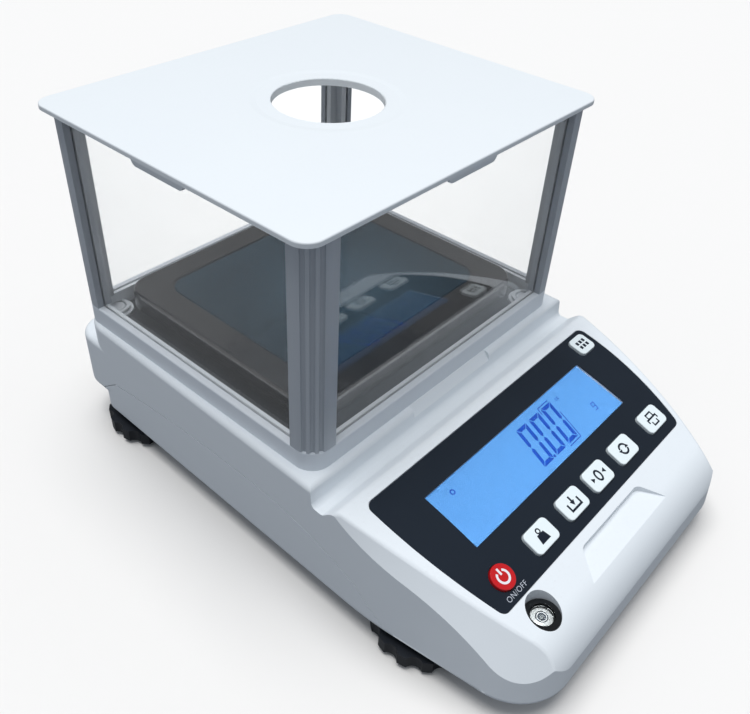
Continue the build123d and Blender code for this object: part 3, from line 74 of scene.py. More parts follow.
SHEET_MIRRORED = (0.22, 0.225, 0.23, 1)
SHEET_BOUNCE = (0.20, 0.21, 0.23, 1)


def add_object(name, data):
    """An object around its data, linked into the scene."""
    thing = bpy.data.objects.new(name, data)
    bpy.context.scene.collection.objects.link(thing)
    return thing


def feed(tree, value, socket):
    """Feeds a socket from another one, or from plain numbers."""
    if isinstance(value, bpy.types.NodeSocket):
        tree.links.new(value, socket)
    else:
        socket.default_value = value


def math_node(tree, operation, first, second):
    """A math node whose two inputs are sockets or plain numbers."""
    node = tree.nodes.new("ShaderNodeMath")
    node.operation = operation
    feed(tree, first, node.inputs[0])
    feed(tree, second, node.inputs[1])
    return node.outputs[0]


def blend_colours(tree, factor, first, second):
    """A mix of two colours, each a socket or four numbers, by a socket's value."""
    node = tree.nodes.new("ShaderNodeMix")
    node.data_type = "RGBA"
    tree.links.new(factor, node.inputs[0])
    feed(tree, first, node.inputs[6])
    feed(tree, second, node.inputs[7])
    return node.outputs[2]


def mix_shaders(tree, factor, first, second, output):
    """Two shader nodes mixed by a socket's value, as the surface of an output node."""
    both = tree.nodes.new("ShaderNodeMixShader")
    tree.links.new(factor, both.inputs[0])
    tree.links.new(first.outputs[0], both.inputs[1])
    tree.links.new(second.outputs[0], both.inputs[2])
    tree.links.new(both.outputs[0], output.inputs["Surface"])


def seen_ray(tree):
    """A value that is 1 where the eye, a mirror or clear glass looks, and 0 for light that bounces."""
    path = tree.nodes.new("ShaderNodeLightPath")
    direct = math_node(tree, "MAXIMUM", path.outputs["Is Camera Ray"], path.outputs["Is Glossy Ray"])
    return math_node(tree, "MAXIMUM", direct, path.outputs["Is Transmission Ray"])


def pick_by_ray(tree, output, usual, other):
    """One of two colours, each a socket or four numbers, by an output of the light path."""
    return blend_colours(tree, tree.nodes.new("ShaderNodeLightPath").outputs[output], usual, other)


def colour_ramp(tree, value, stops):
    """Colours that change with a value, from places and colours."""
    node = tree.nodes.new("ShaderNodeValToRGB")
    ramp = node.color_ramp
    while len(ramp.elements) < len(stops):
        ramp.elements.new(0.5)
    for element, (place, colour) in zip(ramp.elements, stops):
        element.position = place
        element.color = colour
    tree.links.new(value, node.inputs[0])
    return node.outputs[0]


camera_data = bpy.data.cameras.new("camera")
camera_data.sensor_width = SENSOR_WIDTH
camera_data.lens = FOCAL_PIXELS / PICTURE_WIDTH * SENSOR_WIDTH
camera_data.shift_x = (PICTURE_WIDTH / 2 - OPTICAL_X) / PICTURE_WIDTH
camera_data.shift_y = (OPTICAL_Y - PICTURE_HEIGHT / 2) / PICTURE_WIDTH
camera_data.clip_start = CLIP_START
camera = add_object("camera", camera_data)
turn = Matrix((CAMERA_RIGHT, -CAMERA_DOWN, -CAMERA_AHEAD)).transposed().to_4x4()
camera.matrix_world = Matrix.Translation(CAMERA_PLACE) @ turn
bpy.context.scene.camera = camera

lamp_data = bpy.data.lights.new("lamp", "SUN")
lamp_data.energy = LAMP_STRENGTH
lamp_data.angle = radians(LAMP_SPREAD)
lamp = add_object("lamp", lamp_data)
lamp.visible_glossy = False
lamp.rotation_euler = LAMP_DIRECTION.to_track_quat("Z", "Y").to_euler()

world = bpy.data.worlds.new("room")
bpy.context.scene.world = world
world.use_nodes = True
tree = world.node_tree
tree.nodes.clear()
direction = tree.nodes.new("ShaderNodeTexCoord")
split = tree.nodes.new("ShaderNodeSeparateXYZ")
tree.links.new(direction.outputs["Generated"], split.inputs[0])
seen = tree.nodes.new("ShaderNodeBackground")
room = tree.nodes.new("ShaderNodeBackground")
in_mirror = colour_ramp(tree, split.outputs["Z"], MIRROR_STOPS)
through_glass = pick_by_ray(tree, "Is Transmission Ray", HORIZON_COLOUR, HORIZON_THROUGH_GLASS)
tree.links.new(pick_by_ray(tree, "Glossy Depth", through_glass, in_mirror), seen.inputs["Color"])
tree.links.new(colour_ramp(tree, split.outputs["Z"], ROOM_STOPS), room.inputs["Color"])
mix_shaders(tree, seen_ray(tree), room, seen, tree.nodes.new("ShaderNodeOutputWorld"))

sheet_mesh = bpy.data.meshes.new("floor_sheet")
sheet_corners = [(x * FLOOR_REACH, y * FLOOR_REACH, 0) for x, y in ((-1, -1), (1, -1), (1, 1), (-1, 1))]
sheet_mesh.from_pydata(sheet_corners, [], [(0, 1, 2, 3)])
floor_sheet = add_object("floor_sheet", sheet_mesh)
paper = bpy.data.materials.new("pale_paper")
paper.use_nodes = True
tree = paper.node_tree
tree.nodes.clear()
bright = tree.nodes.new("ShaderNodeBsdfDiffuse")
through_glass = pick_by_ray(tree, "Is Transmission Ray", SHEET_COLOUR, SHEET_THROUGH_GLASS)
tree.links.new(pick_by_ray(tree, "Glossy Depth", through_glass, SHEET_MIRRORED), bright.inputs["Color"])
dull = tree.nodes.new("ShaderNodeBsdfDiffuse")
dull.inputs["Color"].default_value = SHEET_BOUNCE
mix_shaders(tree, seen_ray(tree), dull, bright, tree.nodes.new("ShaderNodeOutputMaterial"))
sheet_mesh.materials.append(paper)
bpy.context.scene.view_settings.view_transform = "Standard"

# Housing: two injection-moulded shells in bluish white plastic with a fine satin grain,
# screwed together from below. The grain and the settled dust are shared by other mouldings.
HOUSING_COLOUR = (0.81, 0.85, 0.88, 1)
HOUSING_SHADE = (0.78, 0.82, 0.855, 1)
HOUSING_ROUGHNESS = 0.42
GRAIN_SIZE = 0.0005
GRAIN_DEPTH = 0.000006
CLOUD_SIZE = 0.04
ROUGHNESS_CHANGE = 0.04
COAT_ROUGHNESS = 0.12
DUST_COLOUR = (0.55, 0.53, 0.50, 1)
DUST_SPECKS = 900.0
DUST_SLOPES = (0.6, 1.0)
DUST_TONES = (0.60, 0.78)


def value_group(name, inputs, outputs):
    """An empty shader group with named inputs, each with its kind and value, and named outputs."""
    group = bpy.data.node_groups.new(name, "ShaderNodeTree")
    for label, kind, value in inputs:
        socket = group.interface.new_socket(label, in_out="INPUT", socket_type=kind)
        if value is not None:
            socket.default_value = value
    for label, kind in outputs:
        group.interface.new_socket(label, in_out="OUTPUT", socket_type=kind)
    return group, group.nodes.new("NodeGroupInput"), group.nodes.new("NodeGroupOutput")


def noise_node(tree, vector, scale, detail):
    """A noise texture at a scale in features per metre, from a socket or a number."""
    node = tree.nodes.new("ShaderNodeTexNoise")
    node.inputs["Detail"].default_value = detail
    tree.links.new(vector, node.inputs["Vector"])
    feed(tree, scale, node.inputs["Scale"])
    return node.outputs["Fac"]


def range_node(tree, value, low, high, ends):
    """A value stretched from or to the range between two others; ends says which, From or To."""
    node = tree.nodes.new("ShaderNodeMapRange")
    node.inputs[ends + " Min"].default_value = low
    node.inputs[ends + " Max"].default_value = high
    tree.links.new(value, node.inputs["Value"])
    return node.outputs[0]


grain_group, inside, outside = value_group(
    "Moulded grain",
    [
        ("Vector", "NodeSocketVector", None), ("Size", "NodeSocketFloat", GRAIN_SIZE),
        ("Cloud", "NodeSocketFloat", CLOUD_SIZE),
    ],
    [("Tone", "NodeSocketFloat"), ("Height", "NodeSocketFloat")],
)
fine_scale = math_node(grain_group, "DIVIDE", 1.0, inside.outputs["Size"])
cloud_scale = math_node(grain_group, "DIVIDE", 1.0, inside.outputs["Cloud"])
grain_group.links.new(noise_node(grain_group, inside.outputs["Vector"], fine_scale, 3.0), outside.inputs["Height"])
grain_group.links.new(noise_node(grain_group, inside.outputs["Vector"], cloud_scale, 4.0), outside.inputs["Tone"])

dust_group, inside, outside = value_group(
    "Settled dust",
    [
        ("Vector", "NodeSocketVector", None), ("Normal", "NodeSocketVector", None),
        ("Amount", "NodeSocketFloat", 0.1),
    ],
    [("Mask", "NodeSocketFloat")],
)
upward = dust_group.nodes.new("ShaderNodeSeparateXYZ")
dust_group.links.new(inside.outputs["Normal"], upward.inputs[0])
lying = range_node(dust_group, upward.outputs["Z"], *DUST_SLOPES, "From")
speck_noise = noise_node(dust_group, inside.outputs["Vector"], DUST_SPECKS, 2.0)
specks = range_node(dust_group, speck_noise, *DUST_TONES, "From")
settled = math_node(dust_group, "MULTIPLY", lying, specks)
dust_group.links.new(math_node(dust_group, "MULTIPLY", settled, inside.outputs["Amount"]), outside.inputs["Mask"])


def new_material(name):
    """A material with its tree, its Principled shader and the socket of its object coordinates."""
    material = bpy.data.materials.new(name)
    material.use_nodes = True
    tree = material.node_tree
    shader = tree.nodes["Principled BSDF"]
    coordinates = tree.nodes.new("ShaderNodeTexCoord")
    return material, tree, shader, coordinates.outputs["Object"]


def raise_bump(tree, shader, height, depth):
    """A bump that feeds the shader's normal, with its depth in metres."""
    bump = tree.nodes.new("ShaderNodeBump")
    bump.inputs["Distance"].default_value = depth
    tree.links.new(height, bump.inputs["Height"])
    tree.links.new(bump.outputs[0], shader.inputs["Normal"])


def spread_roughness(tree, shader, value, middle, change):
    """A roughness that follows a value a little below and above its middle."""
    tree.links.new(range_node(tree, value, middle - change, middle + change, "To"), shader.inputs["Roughness"])


def moulded(name, colour, shade, roughness, size=GRAIN_SIZE, depth=GRAIN_DEPTH, dust=0.0, coat=0.0):
    """A moulded plastic: two close tones in soft clouds, a fine grain, and dust on what faces up."""
    material, tree, shader, vector = new_material(name)
    grain = tree.nodes.new("ShaderNodeGroup")
    grain.node_tree = grain_group
    grain.inputs["Size"].default_value = size
    tree.links.new(vector, grain.inputs["Vector"])
    colour_socket = blend_colours(tree, grain.outputs["Tone"], colour, shade)
    if dust > 0:
        dusting = tree.nodes.new("ShaderNodeGroup")
        dusting.node_tree = dust_group
        dusting.inputs["Amount"].default_value = dust
        surface = tree.nodes.new("ShaderNodeNewGeometry")
        tree.links.new(vector, dusting.inputs["Vector"])
        tree.links.new(surface.outputs["Normal"], dusting.inputs["Normal"])
        colour_socket = blend_colours(tree, dusting.outputs["Mask"], colour_socket, DUST_COLOUR)
    tree.links.new(colour_socket, shader.inputs["Base Color"])
    spread_roughness(tree, shader, grain.outputs["Tone"], roughness, ROUGHNESS_CHANGE)
    shader.inputs["Coat Weight"].default_value = coat
    shader.inputs["Coat Roughness"].default_value = COAT_ROUGHNESS
    raise_bump(tree, shader, grain.outputs["Height"], depth)
    return material


def dress(material, *names):
    """Gives CAD nodes one material, in all their slots."""
    for name in names:
        if not nodes[name].material_slots:
            nodes[name].data.materials.append(material)
        for material_slot in nodes[name].material_slots:
            material_slot.material = material


housing_plastic = moulded("housing_plastic", HOUSING_COLOUR, HOUSING_SHADE, HOUSING_ROUGHNESS, dust=0.12)
dress(housing_plastic, "upper_shell", "lower_shell")

# Front panel film: a black printed polyester sheet glued into the console's shallow recess,
# slightly glossy, with the switch's words printed under the red key.
FILM_COLOUR = (0.009, 0.014, 0.023, 1)
FILM_SHADE = (0.013, 0.020, 0.031, 1)
PRINT_LIGHT = (0.62, 0.66, 0.74, 1)
CONSOLE_Y = -0.0512
CONSOLE_Z = 0.0635
CONSOLE_RADIUS = 0.400
CONSOLE_START = radians(10.9)
FILM_LIFT = -0.0001
PRINT_STAND = 0.00003
PRINT_SINK = 0.00004
LETTER_HEIGHT = 0.0023
CAPITAL_SHARE = 0.69
LETTER_SPACING = 1.08
LETTER_THINNING = 0.00004
LETTER_PLACE = (-0.0628, 0.0653)
INK_SPECKS = 2500.0
MITRE_LIMIT = 0.3
WELD = 1e-7


def console_frame(along):
    """The point on the console's top at a distance from the panel's rear edge, the way down and the normal."""
    slope = CONSOLE_START + along / CONSOLE_RADIUS
    centre_y = CONSOLE_Y + CONSOLE_RADIUS * sin(CONSOLE_START)
    centre_z = CONSOLE_Z - CONSOLE_RADIUS * cos(CONSOLE_START)
    normal = Vector((0, -sin(slope), cos(slope)))
    return Vector((0, centre_y, centre_z)) + CONSOLE_RADIUS * normal, Vector((0, -cos(slope), -sin(slope))), normal


def on_film(x, y, height):
    """A print's place on the curved film: x to the right, y up the slope from the panel's rear edge."""
    point, _, normal = console_frame(-y)
    return point + Vector((x, 0, 0)) + (FILM_LIFT + height) * normal


def on_plane(x0, along, lift):
    """A function that places prints on the flat that touches the console, with x to the right and y up."""
    point, down, normal = console_frame(along)
    origin = point + Vector((x0, 0, 0)) + lift * normal
    return lambda x, y, height: origin + Vector((x, 0, 0)) - y * down + height * normal


def path_sides(points, width, closed):
    """Left and right edge of a stroke along a path, mitred at its corners."""
    left, right = [], []
    count = len(points)
    for index, (x, y) in enumerate(points):
        before = points[index - 1] if closed or index > 0 else None
        after = points[(index + 1) % count] if closed or index < count - 1 else None
        ways = []
        for start, end in ((before, (x, y)), ((x, y), after)):
            if start is not None and end is not None:
                length = hypot(end[0] - start[0], end[1] - start[1])
                ways.append(((end[0] - start[0]) / length, (end[1] - start[1]) / length))
        dx = sum(way[0] for way in ways)
        dy = sum(way[1] for way in ways)
        length = hypot(dx, dy)
        nx, ny = -dy / length, dx / length
        reach = width / 2 / max(MITRE_LIMIT, -ways[0][1] * nx + ways[0][0] * ny)
        left.append((x + nx * reach, y + ny * reach))
        right.append((x - nx * reach, y - ny * reach))
    return left, right


def add_plate(form, outline, place):
    """A closed plate of print with any outline, put in place by a function of x, y and height."""
    bottom = [form.verts.new(place(x, y, -PRINT_SINK)) for x, y in outline]
    top = [form.verts.new(place(x, y, PRINT_STAND)) for x, y in outline]
    form.faces.new(top)
    form.faces.new(list(reversed(bottom)))
    for index in range(len(outline)):
        after = (index + 1) % len(outline)
        form.faces.new((bottom[index], bottom[after], top[after], top[index]))


def add_ring(form, inner, outer, place):
    """A closed ring of print between two outlines with as many points each."""
    inner_low, inner_high, outer_low, outer_high = [
        [form.verts.new(place(x, y, level)) for x, y in line]
        for line in (inner, outer) for level in (-PRINT_SINK, PRINT_STAND)
    ]
    for index in range(len(inner)):
        after = (index + 1) % len(inner)
        for first, second in (
            (inner_high, outer_high), (outer_high, outer_low), (outer_low, inner_low), (inner_low, inner_high),
        ):
            form.faces.new((first[index], second[index], second[after], first[after]))


def add_stroke(form, points, width, place, closed=False):
    """A stroke of a print along a path."""
    left, right = path_sides(points, width, closed)
    if closed:
        add_ring(form, left, right, place)
    else:
        add_plate(form, left + right[::-1], place)


def arc_points(radius, start, end, count, centre=(0, 0)):
    """Points on an arc between two angles in degrees."""
    turns = [radians(start + (end - start) * index / (count - 1)) for index in range(count)]
    return [(centre[0] + radius * cos(turn), centre[1] + radius * sin(turn)) for turn in turns]


def circle_points(radius, count=48, centre=(0, 0)):
    """Points on a whole circle, for a closed path."""
    return arc_points(radius, 0, 360 * (count - 1) / count, count, centre)


def finish_piece(name, form, material, body, smooth=False):
    """Turns a bmesh into a finished piece that rides on a body."""
    bmesh.ops.recalc_face_normals(form, faces=form.faces)
    mesh = bpy.data.meshes.new(name)
    form.to_mesh(mesh)
    form.free()
    mesh.materials.append(material)
    for polygon in mesh.polygons:
        polygon.use_smooth = smooth
    piece = add_object(name, mesh)
    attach(piece, body)
    return piece


def ink_and_painted_shade(name, colour, roughness=0.5):
    """Screen-printed ink, also used for the painted shade of the level's bubble: nearly flat, with a slightly uneven
    cover.
    """
    material, tree, shader, vector = new_material(name)
    cover = noise_node(tree, vector, INK_SPECKS, 2.0)
    darker = tuple(part * 0.86 for part in colour[:3]) + (1,)
    tree.links.new(blend_colours(tree, cover, colour, darker), shader.inputs["Base Color"])
    spread_roughness(tree, shader, cover, roughness, 0.06)
    return material


film_plastic = moulded("film_plastic", FILM_COLOUR, FILM_SHADE, 0.30, size=0.00035, depth=0.0000015)
dress(film_plastic, "keypad_overlay")
light_ink = ink_and_painted_shade("light_ink", PRINT_LIGHT)

words_curve = bpy.data.curves.new("switch_words", "FONT")
words_curve.body = "ON/OFF"
words_curve.align_x = "CENTER"
words_curve.size = LETTER_HEIGHT / CAPITAL_SHARE
words_curve.extrude = (PRINT_STAND + PRINT_SINK) / 2
words_curve.space_character = LETTER_SPACING
words_curve.offset = -LETTER_THINNING
words_source = add_object("switch_words_source", words_curve)
bpy.context.view_layer.update()
words_mesh = bpy.data.meshes.new_from_object(words_source.evaluated_get(bpy.context.evaluated_depsgraph_get()))
bpy.data.objects.remove(words_source)
words = bmesh.new()
words.from_mesh(words_mesh)
bmesh.ops.remove_doubles(words, verts=words.verts, dist=WELD)
for vert in words.verts:
    height = vert.co.z + (PRINT_STAND - PRINT_SINK) / 2
    vert.co = on_film(LETTER_PLACE[0] + vert.co.x, vert.co.y - LETTER_PLACE[1] - LETTER_HEIGHT / 2, height)
finish_piece("switch_words", words, light_ink, "housing")

# Display: a back-lit liquid crystal module under a clear window, which shows 0.00 in slanted
# seven-segment digits, the last one in a thin bracket, with the gram sign and the zero mark.
WINDOW_TINT = (0.97, 0.98, 1.0, 1)
WINDOW_BENDING = 1.22
SMEARS = 50.0
SMEAR_ROUGHNESS = 0.03
GLOW_CLOUDS = 14.0
DISPLAY_ROUGHNESS = 0.25
DISPLAY_SHINE = 0.2
LIT_BLUE = (0.056, 0.166, 0.345, 1)
LIT_EDGE = (0.049, 0.153, 0.33, 1)
UNLIT_BLUE = (0.006, 0.018, 0.040, 1)
GLOW_BLUE = (0.120, 0.38, 0.88, 1)
SEGMENT_BLUE = (0.001, 0.038, 0.25, 1)
GLOW_STRENGTH = 0.22
SEGMENT_STRENGTH = 0.4
WINDOW_START = 0.0139
WINDOW_END = 0.0428
DIGIT_TOP = 0.0184
DIGIT_FOOT = 0.0389
DIGIT_SLANT = 0.235
DIGIT_WIDTH = 0.0079
SEGMENT_WIDTH = 0.0020
SEGMENT_GAP = 0.00028
DIGIT_PLACES = (-0.0049, 0.0053, 0.0155)
POINT_SPACE = 0.0009
POINT_OUTLINE = ((-0.0006, 0), (0.0006, 0), (0.0009, 0.0013), (-0.0003, 0.0013))
BRACKET_SPACE = 0.0011
BRACKET_WIDTH = 0.00045
GRAM_SIGN = (0.0430, 0.0322, 0.0366, 0.0026, 0.00045)
ZERO_MARK = (-0.0491, 0.0197)


def clear_material(name, colour, roughness, bending=1.5):
    """Clear glass or plastic that lets lamps shine through to what is behind it."""
    material, tree, shader, vector = new_material(name)
    shader.inputs["Transmission Weight"].default_value = 1.0
    shader.inputs["IOR"].default_value = bending
    smear = noise_node(tree, vector, SMEARS, 3.0)
    tree.links.new(range_node(tree, smear, roughness, roughness + SMEAR_ROUGHNESS, "To"), shader.inputs["Roughness"])
    duller = tuple(part * 0.97 for part in colour[:3]) + (1,)
    tree.links.new(blend_colours(tree, smear, colour, duller), shader.inputs["Base Color"])
    path = tree.nodes.new("ShaderNodeLightPath")
    through = tree.nodes.new("ShaderNodeBsdfTransparent")
    through.inputs["Color"].default_value = colour
    mix_shaders(tree, path.outputs["Is Shadow Ray"], shader, through, tree.nodes["Material Output"])
    return material


dress(clear_material("window_plastic", WINDOW_TINT, 0.02, WINDOW_BENDING), "lcd_window")

lit_display, tree, shader, vector = new_material("lit_display")
glow_cloud = noise_node(tree, vector, GLOW_CLOUDS, 1.0)
lit_colour = pick_by_ray(tree, "Glossy Depth", blend_colours(tree, glow_cloud, LIT_BLUE, LIT_EDGE), UNLIT_BLUE)
tree.links.new(lit_colour, shader.inputs["Base Color"])
shader.inputs["Emission Color"].default_value = GLOW_BLUE
shader.inputs["Emission Strength"].default_value = GLOW_STRENGTH
shader.inputs["Roughness"].default_value = DISPLAY_ROUGHNESS
shader.inputs["Specular IOR Level"].default_value = DISPLAY_SHINE
dress(lit_display, "lcd_module")

segment_ink = ink_and_painted_shade("segment_ink", SEGMENT_BLUE, 0.3)
segment_shader = segment_ink.node_tree.nodes["Principled BSDF"]
segment_shader.inputs["Emission Color"].default_value = SEGMENT_BLUE
segment_shader.inputs["Emission Strength"].default_value = SEGMENT_STRENGTH
display_middle = (WINDOW_START + WINDOW_END) / 2
middle_point, _, middle_normal = console_frame(display_middle)
glass_lift = max((vertex.co - middle_point).dot(middle_normal) for vertex in nodes["lcd_module"].data.vertices)
on_display = on_plane(0, display_middle, glass_lift)


def slanted(x, along):
    """A place on the display, from its x at the digits' foot and its distance along the panel."""
    return x + (DIGIT_FOOT - along) * DIGIT_SLANT, display_middle - along


def bar_outline(bar, width, height, thick, gap):
    """The outline of one bar of a seven-segment digit, a to g, with mitred outer corners."""
    middle = height / 2
    if bar == "g":
        half = [(gap, middle), (thick / 2 + gap, middle - thick / 2), (width - thick / 2 - gap, middle - thick / 2)]
        return half + [(width - x, height - y) for x, y in half]
    if bar in "ad":
        line = [(gap, 0), (width - gap, 0), (width - thick - gap, thick), (thick + gap, thick)]
    else:
        end = middle - gap
        line = [(0, gap), (thick, thick + gap), (thick, end - thick / 2), (thick / 2, end), (0, end - thick / 2)]
    if bar in "bc":
        line = [(width - x, y) for x, y in line]
    if bar in "cde":
        line = [(x, height - y) for x, y in line]
    return line


def add_digit(form, x, top, foot, width, thick, gap, bars):
    """A seven-segment digit; bars name the lit segments from a to g."""
    for bar in bars:
        outline = [slanted(x + px, top + py) for px, py in bar_outline(bar, width, foot - top, thick, gap)]
        add_plate(form, outline, on_display)


digits = bmesh.new()
for digit_x in DIGIT_PLACES:
    add_digit(digits, digit_x, DIGIT_TOP, DIGIT_FOOT, DIGIT_WIDTH, SEGMENT_WIDTH, SEGMENT_GAP, "abcdef")
point_x = DIGIT_PLACES[0] + DIGIT_WIDTH + POINT_SPACE
point_foot = display_middle - DIGIT_FOOT
point_outline = [(point_x + x, point_foot + y) for x, y in POINT_OUTLINE]
add_plate(digits, point_outline, on_display)
left_side = DIGIT_PLACES[2] - BRACKET_SPACE
right_side = DIGIT_PLACES[2] + DIGIT_WIDTH + BRACKET_SPACE
top_side = DIGIT_TOP - BRACKET_SPACE
foot_side = DIGIT_FOOT + BRACKET_SPACE
for start, end in (
    ((left_side, top_side + 0.0035), (left_side, top_side)),
    ((left_side, top_side), (right_side - 0.002, top_side)),
    ((right_side, top_side + 0.008), (right_side, foot_side)),
    ((right_side, foot_side), (left_side + 0.001, foot_side)),
):
    add_stroke(digits, [slanted(*start), slanted(*end)], BRACKET_WIDTH, on_display)
add_digit(digits, *GRAM_SIGN, 0.0, "abcdfg")
mark_y = display_middle - ZERO_MARK[1]
zero_ring = circle_points(0.00105, 24, (ZERO_MARK[0], mark_y))
add_stroke(digits, zero_ring, 0.0006, on_display, closed=True)
for mark_x in (0.0323, 0.0339):
    hook = arc_points(0.0006, 60, 300, 12, (mark_x, mark_y))
    add_stroke(digits, hook, 0.00035, on_display)
finish_piece("display_segments", digits, segment_ink, "housing")

# Keys: soft white caps with a dark printed sign each, and the red power key with the usual
# ring and bar. Every sign rides on its own key.
KEY_COLOUR = (0.82, 0.89, 0.91, 1)
KEY_SHADE = (0.78, 0.86, 0.88, 1)
KEY_INK = (0.010, 0.016, 0.030, 1)
POWER_COLOUR = (0.60, 0.012, 0.016, 1)
POWER_SHADE = (0.50, 0.008, 0.012, 1)
POWER_INK = (0.86, 0.84, 0.88, 1)
KEY_STAND = 0.0013
KEY_ROW = 0.0577
COUNT_ROW = 0.0079
MM = 0.001

key_plastic = moulded("key_plastic", KEY_COLOUR, KEY_SHADE, 0.30, size=0.0004, depth=0.000002)
power_plastic = moulded("power_plastic", POWER_COLOUR, POWER_SHADE, 0.20, size=0.0004, depth=0.0000015, coat=0.4)
key_ink = ink_and_painted_shade("key_ink", KEY_INK, 0.45)
power_ink = ink_and_painted_shade("power_ink", POWER_INK, 0.45)
dress(key_plastic, "cal_key", "tare_key", "zero_key", "unit_key", "print_key", "count_key")
dress(power_plastic, "power_key")


def scaled(points, size):
    """Points given in millimetres, made metres at a size."""
    return [(x * MM * size, y * MM * size) for x, y in points]


def key_top(name, along):
    """The place of prints on a key's crown."""
    low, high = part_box(name)
    return on_plane((low.x + high.x) / 2, along, KEY_STAND)


def key_sign(name, strokes, plates, size=1.0, ink=key_ink):
    """A key's printed sign from strokes and plates, all in millimetres from the key's middle."""
    form = bmesh.new()
    place = key_top(name, KEY_ROW)
    for points, width, closed in strokes:
        add_stroke(form, scaled(points, size), width * MM * size, place, closed)
    for outline in plates:
        add_plate(form, scaled(outline, size), place)
    return finish_piece(name + "_sign", form, ink, name)


key_sign(
    "cal_key",
    [(circle_points(1.05, 32, (0, 2.35)), 0.62, True)],
    [[(-3.0, -2.9), (3.0, -2.9), (2.15, 1.15), (0.45, 1.15), (-0.45, 1.15), (-2.15, 1.15)]],
)
key_sign(
    "tare_key",
    [([(-3.6, 0.9), (-3.6, -2.6), (3.6, -2.6), (3.6, 0.9)], 1.0, False), ([(0, 3.3), (0, 0.6)], 1.0, False)],
    [[(-1.5, 0.9), (0, -1.4), (1.5, 0.9)]],
)
oval = [(x * 0.74, y * 1.12) for x, y in circle_points(2.2, 48)]
key_sign(
    "zero_key",
    [(oval, 1.0, True)],
    [[(-5.2, 1.25), (-5.2, -1.25), (-3.1, 0)], [(3.1, 0), (5.2, -1.25), (5.2, 1.25)]],
)
arrow_arcs = [(arc_points(2.35, 205, 345, 24), 0.95, False), (arc_points(2.35, 25, 165, 24), 0.95, False)]
arrow_heads = []
for side in (1, -1):
    arrow_heads.append([(side * 1.15, side * -0.35), (side * 3.6, side * -0.35), (side * 2.35, side * 1.35)])
key_sign("unit_key", arrow_arcs, arrow_heads, 1.05)
key_sign(
    "print_key",
    [
        ([(-2.1, 0.4), (-2.1, 3.1), (2.1, 3.1), (2.1, 0.4)], 0.8, False),
        ([(-1.9, -1.3), (-1.9, -3.2), (1.9, -3.2), (1.9, -1.3)], 0.8, False),
        ([(-3.6, -1.3), (-3.6, 0.5), (3.6, 0.5), (3.6, -1.3)], 0.9, False),
    ],
    [],
)
key_sign(
    "power_key",
    [(arc_points(2.75, 124, 416, 48), 1.0, False), ([(0, 0.9), (0, 3.9)], 1.0, False)],
    [], 1.0, power_ink,
)


def grid_tree(name):
    """A Geometry Nodes tree that sets small blocks out in rows."""
    tree = bpy.data.node_groups.new(name, "GeometryNodeTree")
    for label, kind, value in (
        ("Columns", "NodeSocketInt", 3), ("Rows", "NodeSocketInt", 2), ("Pitch X", "NodeSocketFloat", 0.002),
        ("Pitch Y", "NodeSocketFloat", 0.002), ("Block", "NodeSocketVector", (0.001, 0.001, 0.0001)),
        ("Material", "NodeSocketMaterial", None),
    ):
        socket = tree.interface.new_socket(label, in_out="INPUT", socket_type=kind)
        if value is not None:
            socket.default_value = value
    tree.interface.new_socket("Geometry", in_out="OUTPUT", socket_type="NodeSocketGeometry")
    source = tree.nodes.new("NodeGroupInput")
    result = tree.nodes.new("NodeGroupOutput")
    grid = tree.nodes.new("GeometryNodeMeshGrid")
    points = tree.nodes.new("GeometryNodeMeshToPoints")
    block = tree.nodes.new("GeometryNodeMeshCube")
    spread = tree.nodes.new("GeometryNodeInstanceOnPoints")
    solid = tree.nodes.new("GeometryNodeRealizeInstances")
    paint = tree.nodes.new("GeometryNodeSetMaterial")
    for count, pitch, vertices, size in (
        ("Columns", "Pitch X", "Vertices X", "Size X"), ("Rows", "Pitch Y", "Vertices Y", "Size Y"),
    ):
        tree.links.new(source.outputs[count], grid.inputs[vertices])
        less = math_node(tree, "SUBTRACT", source.outputs[count], 1)
        tree.links.new(math_node(tree, "MULTIPLY", less, source.outputs[pitch]), grid.inputs[size])
    for start, output, end, entry in (
        (grid, "Mesh", points, "Mesh"), (points, "Points", spread, "Points"), (source, "Block", block, "Size"),
        (block, "Mesh", spread, "Instance"), (spread, "Instances", solid, "Geometry"),
        (solid, "Geometry", paint, "Geometry"), (source, "Material", paint, "Material"),
        (paint, "Geometry", result, "Geometry"),
    ):
        tree.links.new(start.outputs[output], end.inputs[entry])
    return tree


def run_tree(tree, values):
    """The mesh that a Geometry Nodes tree makes with some input values."""
    holder = add_object("holder", bpy.data.meshes.new("holder"))
    modifier = holder.modifiers.new("tree", "NODES")
    modifier.node_group = tree
    for item in tree.interface.items_tree:
        if item.in_out == "INPUT" and item.name in values:
            modifier[item.identifier] = values[item.name]
    bpy.context.view_layer.update()
    mesh = bpy.data.meshes.new_from_object(holder.evaluated_get(bpy.context.evaluated_depsgraph_get()))
    holder.modifiers.remove(modifier)
    bpy.data.objects.remove(holder)
    return mesh


block_grid = grid_tree("block_grid")
pieces_mesh = run_tree(block_grid, {
    "Columns": 3, "Rows": 2, "Pitch X": 0.0026, "Pitch Y": 0.0028,
    "Block": (0.0017, 0.0019, PRINT_STAND + PRINT_SINK), "Material": key_ink,
})
pieces_form = bmesh.new()
pieces_form.from_mesh(pieces_mesh)
on_count_key = key_top("count_key", COUNT_ROW)
for vert in pieces_form.verts:
    vert.co = on_count_key(vert.co.x, vert.co.y, vert.co.z + (PRINT_STAND - PRINT_SINK) / 2)
finish_piece("count_key_sign", pieces_form, key_ink, "count_key")
